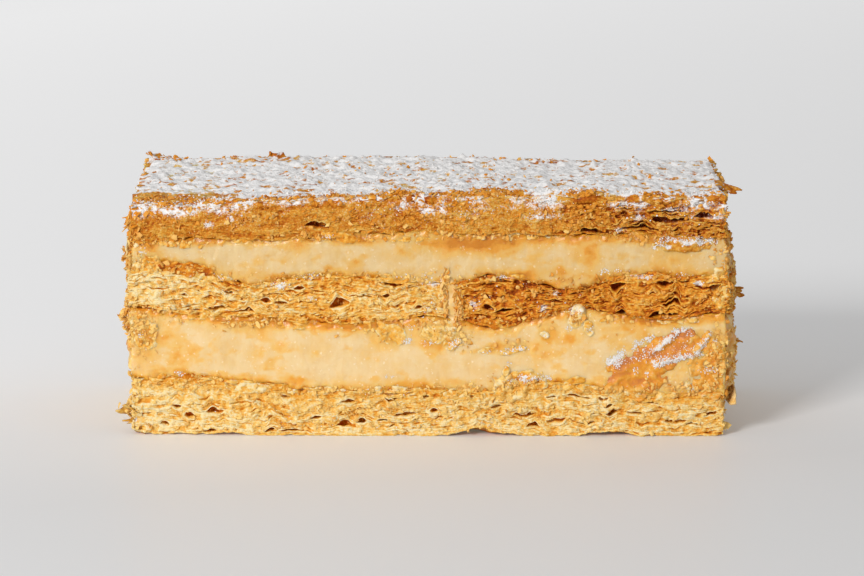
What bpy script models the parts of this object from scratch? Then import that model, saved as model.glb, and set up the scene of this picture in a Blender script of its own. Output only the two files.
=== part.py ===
"""A mille feuille slice: three baked layers of puff pastry with two layers of custard between them.

Blender 4.5, metres, +Z up. The origin is the centre of the underside, X runs along the slice, and
-Y is the front cut. Every layer is a closed solid that runs right through the slice. A pastry
layer's four cut walls show the edges of its leaves, a custard layer's walls bulge a little, and two
torn shards of leaf lie pressed against the custard of the front cut.
"""
import math

import bmesh
import bpy
from mathutils import Vector, noise

MM = 0.001

# Driving dimensions of the slice.
LENGTH = 120.0 * MM
DEPTH = 50.0 * MM
GAP = 0.3 * MM
"""Clear space between two solids that touch."""

# Heights of the five layers along the front cut, at even steps from the left end to the right.
PASTRY_BOTTOM_TOP = [11.8, 11.8, 11.0, 9.4, 9.2, 9.6, 9.0, 11.2, 9.8, 8.4, 8.9]
PASTRY_MIDDLE_UNDER = [26.4, 24.7, 24.4, 22.9, 23.2, 24.4, 22.5, 24.2, 24.8, 24.0, 25.0]
PASTRY_MIDDLE_TOP = [33.8, 34.4, 31.4, 33.2, 32.8, 31.4, 31.8, 31.4, 31.7, 32.5, 33.0]
PASTRY_TOP_UNDER = [39.6, 40.9, 40.1, 40.6, 41.6, 42.1, 41.6, 41.5, 41.6, 41.0, 40.6]
PASTRY_TOP_TOP = [47.7, 47.6, 48.4, 49.0, 49.3, 49.6, 49.7, 49.4, 49.5, 49.3, 49.4]

# Where each layer's left and right end walls stand.
ENDS = {
    "pastry_bottom": (-60.4 * MM, 59.9 * MM),
    "custard_lower": (-61.0 * MM, 60.8 * MM),
    "pastry_middle": (-60.9 * MM, 60.7 * MM),
    "custard_upper": (-60.5 * MM, 60.5 * MM),
    "pastry_top": (-60.7 * MM, 60.1 * MM),
}

# The wall of a pastry layer: leaf edges that stand out by different amounts, with grooves between.
LEAF_REACH = 0.75 * MM
LEAF_GROOVE = 0.55 * MM
LEAF_WANDER = 11.0 * MM
# The wall of a custard layer.
CUSTARD_BULGE = 0.45 * MM
CUSTARD_WANDER = 17.0 * MM
# Slow unevenness of the layers' upper and lower faces.
RIPPLE = 0.35 * MM
RIPPLE_LENGTH = 16.0 * MM
TOP_BLISTER = 0.55 * MM
BLISTER_LENGTH = 9.0 * MM

# Places along the edge of the underside where the lowest leaf is lifted clear of the table:
# (x, y, half length along the edge, rise).
LIFTS = [
    (10.0 * MM, -0.5 * DEPTH, 6.0 * MM, 1.7 * MM),
    (-42.0 * MM, -0.5 * DEPTH, 5.0 * MM, 0.8 * MM),
    (36.0 * MM, -0.5 * DEPTH, 5.0 * MM, 0.8 * MM),
    (-22.0 * MM, 0.5 * DEPTH, 8.0 * MM, 1.4 * MM),
    (31.0 * MM, 0.5 * DEPTH, 6.0 * MM, 1.0 * MM),
    (-0.5 * LENGTH, 6.0 * MM, 7.0 * MM, 1.2 * MM),
    (0.5 * LENGTH, 9.0 * MM, 6.0 * MM, 1.1 * MM),
]
LIFT_INWARD = 5.0 * MM

# Cells of a layer's faces along X and along Y.
COLUMNS = 24
RANKS = 9


def smooth(t):
    """0 to 1 with a level start and end."""
    t = min(1.0, max(0.0, t))
    return t * t * (3.0 - 2.0 * t)


def along(profile, x):
    """A profile's height at x, on a smooth curve through its even steps."""
    place = (x / LENGTH + 0.5) * (len(profile) - 1)
    place = min(len(profile) - 1.001, max(0.0, place))
    step = int(place)
    return MM * (profile[step] + (profile[step + 1] - profile[step]) * smooth(place - step))


def ripple(x, y, size, length, seed):
    """Slow rise and fall of a face, different for each seed."""
    return size * noise.noise(Vector((x / length, y / length, 7.3 * seed)))


def interface(profile, x, y, seed):
    """Height of the face between two layers. The back cut shows the front's line the other way round."""
    back_share = smooth(y / DEPTH + 0.5)
    height = along(profile, x) * (1.0 - back_share) + along(profile, -x) * back_share
    return height + ripple(x, y, RIPPLE, RIPPLE_LENGTH, seed)


def underside(x, y):
    """The face that rests on the table: flat, but for the lifted stretches of its edge."""
    height = 0.0
    for centre_x, centre_y, half, rise in LIFTS:
        on_end = abs(centre_x) == 0.5 * LENGTH
        sideways = (y - centre_y) if on_end else (x - centre_x)
        inward = abs(x - centre_x) if on_end else abs(y - centre_y)
        if abs(sideways) < half and inward < LIFT_INWARD:
            height += rise * math.cos(0.5 * math.pi * sideways / half) ** 2 * (1.0 - inward / LIFT_INWARD)
    return height


def top_of_bottom(x, y):
    return interface(PASTRY_BOTTOM_TOP, x, y, 1)


def under_middle(x, y):
    return interface(PASTRY_MIDDLE_UNDER, x, y, 2)


def top_of_middle(x, y):
    return interface(PASTRY_MIDDLE_TOP, x, y, 3)


def under_top(x, y):
    return interface(PASTRY_TOP_UNDER, x, y, 4)


def crust(x, y):
    """The blistered upper face of the slice."""
    return interface(PASTRY_TOP_TOP, x, y, 5) + ripple(x, y, TOP_BLISTER, BLISTER_LENGTH, 6)


def raised(face):
    """The same face, higher by the gap that touching solids keep."""
    return lambda x, y: face(x, y) + GAP


def leafy_wall(leaves, seed):
    """How far a pastry wall stands out: each leaf's edge wanders on its own, with a groove below and above it."""

    def reach(x, y, share):
        leaf = min(leaves - 1, int(share * leaves))
        in_leaf = share * leaves - leaf
        edge = LEAF_REACH * noise.noise(Vector((x / LEAF_WANDER, y / LEAF_WANDER, 4.1 * leaf + 31.0 * seed)))
        groove = LEAF_GROOVE * abs(2.0 * in_leaf - 1.0)
        return edge - groove

    return reach


def bulging_wall(seed):
    """How far a custard wall stands out: most at mid height, and slowly wandering along the cut."""

    def reach(x, y, share):
        wander = noise.noise(Vector((x / CUSTARD_WANDER, y / CUSTARD_WANDER, 5.9 * seed)))
        return CUSTARD_BULGE * (math.sin(math.pi * share) + wander)

    return reach


def lattice_box(columns, ranks, rows):
    """A unit cube centred on the origin, its faces cut into that many cells along X, Y and Z."""
    mesh = bmesh.new()
    bmesh.ops.create_cube(mesh, size=1.0)
    for axis, cells in enumerate((columns, ranks, rows)):
        normal = Vector((0.0, 0.0, 0.0))
        normal[axis] = 1.0
        for cut in range(1, cells):
            bmesh.ops.bisect_plane(
                mesh,
                geom=mesh.verts[:] + mesh.edges[:] + mesh.faces[:],
                dist=1e-6,
                plane_co=normal * (cut / cells - 0.5),
                plane_no=normal,
            )
    return mesh


def finish(name, mesh, colour, roughness, sharp_degrees):
    """Turns the mesh into a named object with its own material."""
    data = bpy.data.meshes.new(name)
    mesh.to_mesh(data)
    mesh.free()
    material = bpy.data.materials.new(name)
    material.use_nodes = True
    shader = material.node_tree.nodes["Principled BSDF"]
    shader.inputs["Base Color"].default_value = (*colour, 1.0)
    shader.inputs["Roughness"].default_value = roughness
    data.materials.append(material)
    data.shade_smooth()
    data.set_sharp_from_angle(angle=math.radians(sharp_degrees))
    made = bpy.data.objects.new(name, data)
    bpy.context.scene.collection.objects.link(made)
    return made


def make_layer(name, floor, roof, wall, rows, colour, roughness):
    """A layer of the slice, between two faces and out to its four cut walls."""
    left, right = ENDS[name]
    mesh = lattice_box(COLUMNS, RANKS, rows)
    for vertex in mesh.verts:
        across, inward, up = vertex.co
        share = up + 0.5
        x = left + (right - left) * (across + 0.5)
        y = DEPTH * inward
        out = wall(x, y, share)
        if abs(across) > 0.499:
            x += math.copysign(out, across)
        if abs(inward) > 0.499:
            y += math.copysign(out, inward)
        low, high = floor(x, y), roof(x, y)
        vertex.co = (x, y, low + (high - low) * share)
    return finish(name, mesh, colour, roughness, 35.0)


def make_shard(name, middle, size, tilt, thickness, custard_wall, custard_span, colour):
    """A torn piece of leaf that lies on the custard of the front cut, gap and all.

    middle is its centre (x, z), size its width and height, tilt its turn in degrees, and
    custard_span gives the custard's lower and upper face, which its own share of height needs.
    """
    floor, roof = custard_span
    turn = math.radians(tilt)
    mesh = lattice_box(12, 1, 6)
    for vertex in mesh.verts:
        across, inward, up = vertex.co
        # The torn outline narrows unevenly towards both ends.
        taper = 1.0 - 0.55 * (2.0 * abs(across)) ** 3 + 0.25 * noise.noise(Vector((9.0 * across, 0.0, middle[1] / MM)))
        run, rise = size[0] * across, size[1] * up * taper
        x = middle[0] + run * math.cos(turn) - rise * math.sin(turn)
        z = middle[1] + run * math.sin(turn) + rise * math.cos(turn)
        low, high = floor(x, -0.5 * DEPTH), roof(x, -0.5 * DEPTH)
        share = min(1.0, max(0.0, (z - low) / (high - low)))
        face = -0.5 * DEPTH - custard_wall(x, -0.5 * DEPTH, share) - GAP
        fold = 0.35 * thickness * math.sin(2.0 * math.pi * (1.6 * across + up))
        y = face if inward > 0.0 else face - thickness - fold * (1.0 - 4.0 * across * across)
        vertex.co = (x, y, z)
    return finish(name, mesh, colour, 0.45, 30.0)


def stand_on_origin(objects):
    """Moves the slice so that its bounding box stands centred on the origin."""
    points = [vertex.co for made in objects for vertex in made.data.vertices]
    middle_x = 0.5 * (min(p.x for p in points) + max(p.x for p in points))
    middle_y = 0.5 * (min(p.y for p in points) + max(p.y for p in points))
    lowest = min(p.z for p in points)
    for made in objects:
        for vertex in made.data.vertices:
            vertex.co -= Vector((middle_x, middle_y, lowest))


def build():
    for old in list(bpy.data.objects):
        bpy.data.objects.remove(old)

    lower_wall = bulging_wall(1)
    upper_wall = bulging_wall(2)
    made = [
        make_layer("pastry_bottom", underside, top_of_bottom, leafy_wall(4, 1), 8, (0.80, 0.50, 0.17), 0.7),
        make_layer("custard_lower", raised(top_of_bottom), under_middle, lower_wall, 5, (0.90, 0.66, 0.31), 0.4),
        make_layer("pastry_middle", raised(under_middle), top_of_middle, leafy_wall(4, 2), 8, (0.64, 0.31, 0.08), 0.7),
        make_layer("custard_upper", raised(top_of_middle), under_top, upper_wall, 4, (0.88, 0.62, 0.28), 0.4),
        make_layer("pastry_top", raised(under_top), crust, leafy_wall(4, 3), 8, (0.58, 0.27, 0.07), 0.75),
        make_shard(
            "shard_lower",
            (47.5 * MM, 16.4 * MM),
            (22.0 * MM, 9.0 * MM),
            14.0,
            0.9 * MM,
            lower_wall,
            (top_of_bottom, under_middle),
            (0.62, 0.27, 0.06),
        ),
        make_shard(
            "shard_upper",
            (52.0 * MM, 38.6 * MM),
            (13.0 * MM, 3.2 * MM),
            -6.0,
            0.7 * MM,
            upper_wall,
            (top_of_middle, under_top),
            (0.62, 0.27, 0.06),
        ),
    ]
    stand_on_origin(made)


build()
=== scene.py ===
"""Looks of the mille feuille slice: flaky pastry, custard, torn leaves, crumbs and icing sugar."""
import math

import bpy
import numpy as np
from mathutils import Euler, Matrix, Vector
from mathutils.bvhtree import BVHTree


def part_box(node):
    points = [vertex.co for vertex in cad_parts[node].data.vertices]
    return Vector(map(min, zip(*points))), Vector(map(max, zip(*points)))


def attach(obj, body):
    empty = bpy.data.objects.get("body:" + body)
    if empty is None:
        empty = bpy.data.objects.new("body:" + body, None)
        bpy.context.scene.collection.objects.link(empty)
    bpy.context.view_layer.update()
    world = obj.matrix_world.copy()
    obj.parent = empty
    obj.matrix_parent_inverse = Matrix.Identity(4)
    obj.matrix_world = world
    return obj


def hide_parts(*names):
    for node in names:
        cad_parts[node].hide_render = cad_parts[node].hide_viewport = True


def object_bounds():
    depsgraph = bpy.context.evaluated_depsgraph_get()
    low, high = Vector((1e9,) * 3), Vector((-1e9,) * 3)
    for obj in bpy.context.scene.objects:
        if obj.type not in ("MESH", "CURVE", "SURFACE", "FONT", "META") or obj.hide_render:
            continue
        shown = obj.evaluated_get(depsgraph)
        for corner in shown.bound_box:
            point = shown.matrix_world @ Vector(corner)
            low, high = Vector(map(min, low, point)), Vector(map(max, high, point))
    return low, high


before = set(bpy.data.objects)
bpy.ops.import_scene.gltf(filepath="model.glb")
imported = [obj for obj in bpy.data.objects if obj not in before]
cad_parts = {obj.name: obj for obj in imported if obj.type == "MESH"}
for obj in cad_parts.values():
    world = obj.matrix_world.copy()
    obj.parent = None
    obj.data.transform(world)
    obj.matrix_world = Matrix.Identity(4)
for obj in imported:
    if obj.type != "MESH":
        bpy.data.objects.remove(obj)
CAD_LOW, CAD_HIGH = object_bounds()
MM = 0.001


# ---------------------------------------------------------------- small tools


def deselect_all():
    for other in bpy.context.selected_objects:
        other.select_set(False)


def pick(piece):
    """Makes the piece the only selected and active object."""
    deselect_all()
    piece.select_set(True)
    bpy.context.view_layer.objects.active = piece
    return piece


def fresh(name):
    """Names the primitive that was just added, and gives it."""
    piece = bpy.context.active_object
    piece.name = piece.data.name = name
    return piece


def settle(piece):
    """Puts the piece's place, turn and size into its mesh."""
    pick(piece)
    bpy.ops.object.transform_apply(location=True, rotation=True, scale=True)
    return piece


def change(piece, kind, **settings):
    """Adds a modifier to the piece and applies it."""
    pick(piece)
    modifier = piece.modifiers.new(kind.title(), kind)
    for key, value in settings.items():
        setattr(modifier, key, value)
    bpy.ops.object.modifier_apply(modifier=modifier.name)
    return piece


def joined(name, pieces):
    """Joins the pieces into one of that name."""
    pick(pieces[0])
    for piece in pieces:
        piece.select_set(True)
    bpy.ops.object.join()
    return fresh(name)


def points_of(piece):
    co = np.empty(len(piece.data.vertices) * 3)
    piece.data.vertices.foreach_get("co", co)
    return co.reshape(-1, 3)


def put_points(piece, points):
    piece.data.vertices.foreach_set("co", np.ascontiguousarray(points, np.float32).ravel())
    piece.data.update()


def put_marks(piece, name, values):
    """Keeps one number for each point of the piece, for its material to read."""
    marks = piece.data.attributes.new(name, "FLOAT", "POINT")
    marks.data.foreach_set("value", np.ascontiguousarray(values, np.float32).ravel())


# The noise's lattice is turned, so that no swell lines up with the slice's sides.
LATTICE = np.array(Euler((0.61, 0.83, 1.07)).to_matrix())


def wander(points, size, seed=0.0):
    """Smooth noise from -1 to 1 at each point. size is the length of its swells along X, Y and Z."""
    cell = (points / np.asarray(size, float)) @ LATTICE + np.array([0.37, 0.71, 0.53]) * (seed + 1.0) * 19.7
    corner = np.floor(cell).astype(np.int64)
    share = cell - corner
    share = share * share * (3.0 - 2.0 * share)
    total = np.zeros(len(points))
    for index in range(8):
        step = np.array([index & 1, (index >> 1) & 1, index >> 2])
        x, y, z = (corner + step).T
        mixed = (x * 73856093) ^ (y * 19349663) ^ (z * 83492791)
        mixed = (mixed ^ (mixed >> 13)) * 1274126177 & 0x7FFFFFFF
        mixed = (mixed ^ (mixed >> 15)) * 668265263 & 0x7FFFFFFF
        weight = np.prod(np.where(step == 1, share, 1.0 - share), axis=1)
        total += weight * (mixed / 0x3FFFFFFF - 1.0)
    return np.clip(total * 1.25, -1.0, 1.0)


def rough(points, size, seed=0.0, octaves=3):
    """Noise with finer and finer swells added, about -1 to 1."""
    size = np.asarray(size, float)
    return sum(wander(points, size / 2**n, seed + 5.0 * n) / 2**n for n in range(octaves)) / 1.5


def ease(value, low, high):
    """0 below low, 1 above high, and smooth between."""
    share = np.clip((value - low) / (high - low), 0.0, 1.0)
    return share * share * (3.0 - 2.0 * share)


# ---------------------------------------------------------------- the frame's faces


# How much higher than its solid the middle pastry's upper and lower face lie along the front cut, in mm.
ALONG_MIDDLE = [-62, -58, -55, -50, -45.5, -42, -38, 6, 10, 14, 18, 22, 27, 32, 36, 41, 46, 50, 56]
ROOF_LIFT = [0, 0.4, 1.4, 0.8, 0.8, -0.4, 0, 0, 1.2, 1.8, 1.6, 0.2, -0.8, -0.8, 1.0, 1.8, 1.6, 0.5, 0.3]
FLOOR_LIFT = [0, 0, 0, 0, 0, 0, 0, 0, -0.3, -0.8, -1.0, 0.2, 1.2, 1.8, 0.6, -0.2, 0, -0.3, 0.3]
FRONT_LIFTS = {
    ("pastry_middle", True): ROOF_LIFT,
    ("custard_upper", False): ROOF_LIFT,
    ("pastry_middle", False): FLOOR_LIFT,
    ("custard_lower", True): FLOOR_LIFT,
}


class Face:
    """A layer's upper or lower face, read from its CAD solid as heights over the slice's plan."""

    COLUMNS, RANKS, INSET = 61, 26, 1.6 * MM

    def __init__(self, node, upper):
        low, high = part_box(node)
        self.lifts = FRONT_LIFTS.get((node, upper))
        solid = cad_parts[node].data
        tree = BVHTree.FromPolygons([v.co for v in solid.vertices], [p.vertices for p in solid.polygons])
        self.xs = np.linspace(low.x + self.INSET, high.x - self.INSET, self.COLUMNS)
        self.ys = np.linspace(low.y + self.INSET, high.y - self.INSET, self.RANKS)
        start, way = (high.z + MM, -1.0) if upper else (low.z - MM, 1.0)
        self.heights = np.array(
            [[tree.ray_cast(Vector((x, y, start)), Vector((0, 0, way)))[0].z for x in self.xs] for y in self.ys]
        )

    def at(self, plan):
        """Height at each point of the plan, from the nearest inner point past the edge."""
        x, y = plan[..., 0], plan[..., 1]
        column = np.clip((x - self.xs[0]) / (self.xs[1] - self.xs[0]), 0, self.COLUMNS - 1.001)
        rank = np.clip((y - self.ys[0]) / (self.ys[1] - self.ys[0]), 0, self.RANKS - 1.001)
        c, r = column.astype(int), rank.astype(int)
        u, v = column - c, rank - r
        grid = self.heights
        height = (grid[r, c] * (1 - u) + grid[r, c + 1] * u) * (1 - v)
        height += (grid[r + 1, c] * (1 - u) + grid[r + 1, c + 1] * u) * v
        if self.lifts:
            height = height + MM * ease(y, -12 * MM, -22 * MM) * np.interp(x / MM, ALONG_MIDDLE, self.lifts)
        return height


# ---------------------------------------------------------------- bands round the slice


CORNER = 1.1 * MM


class Outline:
    """The cut sides seen from above: points round a rectangle, with the way out at each."""

    def __init__(self, node, front_step, other_step, inset=0.0):
        low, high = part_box(node)
        self.low = np.array(low[:2]) + inset
        self.high = np.array(high[:2]) - inset
        (x0, y0), (x1, y1) = self.low, self.high
        corners = [(x0, y1), (x0, y0), (x1, y0), (x1, y1)]
        outs = [(-1, 0), (0, -1), (1, 0), (0, 1)]
        steps = [other_step, front_step, other_step, other_step]
        plan, out = [], []
        for side in range(4):
            start, end = np.array(corners[side]), np.array(corners[(side + 1) % 4])
            way = (end - start) / np.linalg.norm(end - start)
            here, after = np.array(outs[side], float), np.array(outs[(side + 1) % 4], float)
            length = np.linalg.norm(end - start) - 2 * CORNER
            count = max(2, round(length / steps[side]))
            for share in np.linspace(0.0, 1.0, count + 1):
                plan.append(start + way * (CORNER + length * share))
                out.append(here)
            pivot = end - way * CORNER - here * CORNER
            for turn in np.radians([18, 36, 54, 72]):
                normal = here * math.cos(turn) + after * math.sin(turn)
                plan.append(pivot + normal * CORNER)
                out.append(normal)
        self.plan = np.array(plan + plan[:1])
        self.out = np.array(out + out[:1])

    def inward(self, distance):
        """The outline moved in by a distance at each of its points."""
        return self.plan - self.out * np.asarray(distance)[..., None]


def closed_band(name, outline, rows, floor, roof, marks):
    """A closed solid from rows of points round the outline, with a gridded face on both ends."""
    count = len(outline.plan)
    bpy.ops.mesh.primitive_grid_add(x_subdivisions=count - 1, y_subdivisions=len(rows) - 1, size=1.0)
    band = fresh(name)
    put_points(band, rows.reshape(-1, 3))
    for mark, values in marks.items():
        put_marks(band, mark, values)
    bpy.ops.object.mode_set(mode="EDIT")
    bpy.ops.mesh.select_all(action="SELECT")
    bpy.ops.mesh.remove_doubles(threshold=1e-8)
    bpy.ops.object.mode_set(mode="OBJECT")
    halfway = (rows[0, :, 2].mean() + rows[-1, :, 2].mean()) / 2
    for face, turned in ((roof, False), (floor, True)):
        cap = cap_grid(outline, face, turned)
        band = joined(name, [band, cap])
        bridge_rims(band, (lambda z: z < halfway) if turned else (lambda z: z > halfway))
    band.data.shade_smooth()
    return band


def cap_grid(outline, face, turned):
    """A plain gridded face that follows the layer's, a little inside the outline."""
    inset = 4.0 * MM
    low, high = outline.low + inset, outline.high - inset
    bpy.ops.mesh.primitive_grid_add(x_subdivisions=56, y_subdivisions=20, size=1.0)
    cap = fresh("cap")
    points = points_of(cap)
    plan = (low + high) / 2 + points[:, :2] * (high - low)
    put_points(cap, np.column_stack([plan, face.at(plan)]))
    if turned:
        bpy.ops.object.mode_set(mode="EDIT")
        bpy.ops.mesh.select_all(action="SELECT")
        bpy.ops.mesh.flip_normals()
        bpy.ops.object.mode_set(mode="OBJECT")
    return cap


def bridge_rims(piece, wanted):
    """Bridges the two open rims whose heights are wanted."""
    pick(piece)
    bpy.ops.object.mode_set(mode="EDIT")
    bpy.ops.mesh.select_mode(type="EDGE")
    bpy.ops.mesh.select_all(action="DESELECT")
    bpy.ops.mesh.select_non_manifold(
        use_wire=False, use_boundary=True, use_multi_face=False, use_non_contiguous=False, use_verts=False
    )
    bpy.ops.object.mode_set(mode="OBJECT")
    points = points_of(piece)
    for edge in piece.data.edges:
        if edge.select and not wanted(points[edge.vertices[0], 2]):
            edge.select = False
    bpy.ops.object.mode_set(mode="EDIT")
    bpy.ops.mesh.bridge_edge_loops()
    bpy.ops.object.mode_set(mode="OBJECT")


# ---------------------------------------------------------------- icing sugar


# Icing sugar along the ridges of the lower soaked leaf: the two ends of each line, its spread and its count.
SUGAR_LINES = [
    ((36.7, 15.1), (40.0, 17.2), 0.75, 160),
    ((41.8, 18.8), (46.0, 20.7), 0.55, 90),
    ((45.8, 17.8), (52.2, 22.8), 0.6, 220),
    ((46.1, 14.9), (51.2, 16.2), 0.7, 210),
    ((51.0, 16.2), (55.8, 17.3), 0.5, 110),
    ((55.2, 18.4), (57.4, 21.2), 0.45, 80),
    ((50.0, 40.4), (58.8, 40.4), 0.5, 160),
    ((45.8, 39.0), (49.0, 41.0), 0.55, 60),
    ((15.2, 17.4), (20.0, 18.4), 0.4, 60),
    ((-5.2, 19.2), (-3.6, 20.0), 0.4, 30),
    ((19.0, 11.4), (24.6, 12.4), 0.7, 90),
    ((4.2, 18.6), (6.4, 19.9), 0.55, 50),
]
SUGAR_CLUSTERS = [
    (-44.6, 43.5, 0.9, 0.6, 26), (-40.3, 44.9, 0.6, 0.5, 10), (-57.6, 38.1, 1.2, 0.8, 16), (-42.0, 32.6, 1.0, 0.6, 16),
    (-30.0, 31.1, 2.0, 0.9, 46), (-23.3, 33.4, 1.5, 0.5, 22), (-39.7, 29.4, 1.4, 0.6, 14), (-24.5, 28.4, 1.4, 0.5, 12),
    (-50.7, 12.7, 0.9, 0.6, 30), (-59.0, 21.0, 0.9, 1.2, 22), (-60.0, 3.3, 0.7, 0.7, 14), (-62.0, 24.4, 0.8, 1.6, 16),
    (29.8, 25.8, 1.3, 0.8, 44), (28.7, 22.4, 0.7, 0.7, 20), (32.8, 22.4, 0.6, 0.9, 22), (23.9, 20.9, 0.7, 0.5, 12),
    (38.7, 15.2, 1.8, 0.9, 120), (44.5, 17.0, 4.5, 1.5, 130), (52.0, 18.0, 4.0, 1.4, 70),
    (42.3, 13.8, 0.6, 0.7, 24), (44.7, 13.1, 0.6, 0.7, 24), (57.6, 13.8, 2.2, 0.6, 70), (58.5, 19.3, 0.7, 1.3, 20),
    (0.0, 19.3, 1.2, 0.7, 24), (-3.5, 22.4, 1.2, 1.0, 20), (11.6, 17.4, 1.0, 0.5, 16), (16.5, 14.7, 0.6, 0.8, 14),
    (-8.1, 12.4, 0.8, 0.5, 14), (9.4, 27.4, 1.2, 1.0, 40), (0.5, 31.9, 2.2, 0.8, 40), (-24.7, 32.9, 2.2, 0.6, 30),
    (15.2, 32.9, 2.2, 0.5, 30), (43.6, 33.2, 2.6, 0.5, 30), (36.2, 34.3, 1.6, 0.6, 20), (-0.6, 26.0, 0.8, 1.2, 20), (23.5, 26.5, 1.0, 0.6, 20),
    (54.7, 9.6, 0.9, 0.5, 16), (53.5, 21.3, 0.8, 0.6, 16), (38.9, 42.6, 0.9, 0.5, 12), (47.4, 40.1, 1.4, 1.1, 46),
    (54.6, 40.5, 2.6, 0.7, 80), (50.5, 41.0, 2.0, 0.5, 24), (42.9, 45.1, 1.0, 0.5, 14), (38.6, 34.4, 1.3, 0.5, 20),
    (44.2, 33.1, 1.6, 0.4, 22), (51.7, 33.5, 1.2, 0.7, 16), (55.1, 31.7, 0.9, 0.5, 22), (26.1, 29.6, 0.9, 0.5, 16),
    (23.6, 45.6, 3.6, 0.7, 44), (8.0, 46.5, 6.0, 1.6, 60), (-8.0, 47.0, 6.0, 1.4, 40), (40.0, 47.9, 2.2, 0.7, 46),
    (53.5, 48.0, 1.6, 0.9, 46), (-57.0, 47.5, 2.6, 1.2, 60), (-48.0, 47.6, 5.0, 0.7, 90), (-38.0, 48.0, 4.0, 0.5, 40),
    (-25.0, 48.8, 4.0, 0.5, 30), (24.0, 48.9, 3.5, 0.9, 70), (-20.5, 41.4, 1.6, 0.4, 14), (0.0, 33.0, 6.0, 0.8, 24),
    (-10.0, 9.0, 10.0, 1.2, 20), (5.0, 3.0, 30.0, 2.4, 50), (-35.0, 3.0, 20.0, 2.0, 30), (10.0, 29.0, 30.0, 3.0, 60),
    (20.0, 12.2, 3.5, 0.8, 40), (52.0, 45.5, 6.0, 1.8, 40), (16.0, 11.0, 1.6, 1.0, 18),
]
# Where the top's icing sugar has spilled over the front edge: centre across, height, half width, half height.
SUGAR_SPILLS = [
    (-58.0, 46.6, 3.6, 1.2, 200), (-51.0, 46.4, 4.5, 0.9, 130), (-44.5, 47.2, 4.0, 1.1, 160), (-38.5, 47.8, 3.0, 0.9, 120),
    (-29.0, 48.4, 3.0, 0.7, 50), (-20.0, 48.7, 4.0, 0.7, 60), (-12.0, 49.0, 2.5, 0.8, 50), (-1.5, 49.3, 3.0, 1.0, 90), (2.0, 48.0, 3.0, 0.8, 70), (9.0, 48.9, 3.0, 0.7, 70),
    (5.0, 49.6, 2.5, 0.8, 50), (18.0, 49.3, 2.0, 1.0, 50), (24.7, 48.6, 3.4, 1.5, 200), (31.0, 49.4, 2.0, 0.7, 30),
    (42.6, 48.4, 2.2, 1.5, 140), (48.0, 49.2, 2.0, 0.6, 30), (54.6, 48.2, 2.8, 1.2, 140), (60.0, 47.6, 1.5, 1.6, 80),
    (14.0, 47.2, 4.0, 0.8, 50), (1.0, 46.6, 3.0, 0.8, 60), (-6.0, 47.6, 2.0, 0.8, 60), (50.0, 46.8, 3.0, 0.4, 30), (57.0, 45.4, 3.0, 0.4, 30),
]


# ---------------------------------------------------------------- pastry


def leaf_points(plan, leaf, spacing=1.0):
    """Points for noise that differs from leaf to leaf: wholly at a spacing of 1, and less below it."""
    return np.column_stack([plan, np.full(len(plan), leaf * spacing * MM)])


def gap_at(front, plan, bottom, top, leaves, place):
    """Which joint between the leaves a pocket at x, z opens, and where it is along the front."""
    x, z = place
    on_front = front > 0.5
    low = np.interp(x, plan[on_front, 0], bottom[on_front])
    high = np.interp(x, plan[on_front, 0], top[on_front])
    return int(np.clip(round((z - low) / (high - low) * leaves), 1, leaves - 1))


def powder(points, out, seed):
    """How much icing sugar has fallen on each point of the front cut, from 0 to 1. Points are in mm."""
    x, _, z = points.T
    total = 0 * x
    for px, pz, wide, tall, count in SUGAR_CLUSTERS + SUGAR_SPILLS:
        dense = min(1.0, count / (wide * tall) / 30)
        total = np.maximum(total, dense * np.exp(-(((x - px) / wide / 1.2) ** 2) - ((z - pz) / tall / 1.2) ** 2))
    flat = points * MM
    total = total * (0.7 + 0.5 * wander(flat, 1.1 * MM, seed + 21)) + 0.1 * wander(flat, 2.2 * MM, seed + 22)
    total = total + 0.13 * ease(z, 40.0, 44.0)
    return ease(-out[:, 1], 0.2, 0.6) * np.clip(total, 0.0, 1.0)


def end_raggedness(flat, out, seed):
    """How far the short ends bulge and crumble outwards, at each point."""
    at_end = abs(out[:, 0])
    y, z = flat[:, 1] / MM, flat[:, 2] / MM
    right = ease(out[:, 0], 0.3, 0.9) * ease(y, -24.0, -20.0) * ease(z, 4.0, 12.0) * ease(z, 44.0, 34.0)
    left = ease(out[:, 0], -0.1, -0.9) * ease(y, 0.0, -18.0) * ease(z, 42.5, 48.5)
    torn = 0.55 * wander(flat, (3.5 * MM, 3.5 * MM, 2.4 * MM), seed + 61) + 0.3 * wander(flat, 1.4 * MM, seed + 62)
    return MM * (at_end * torn + 1.5 * right - 1.5 * left)


# How far the foot of the slice stands off the plate along its front, in mm.
FOOT_ALONG = [-62, -59, -56, -51, -47, 4, 8, 11.5, 15, 19, 35, 38.5, 42, 57, 61]
FOOT_LIFT = [1.3, 0.7, 0.5, 0.3, 0.0, 0.0, 0.6, 1.2, 0.8, 0.1, 0.1, 0.7, 0.1, 0.1, 0.5]


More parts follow.
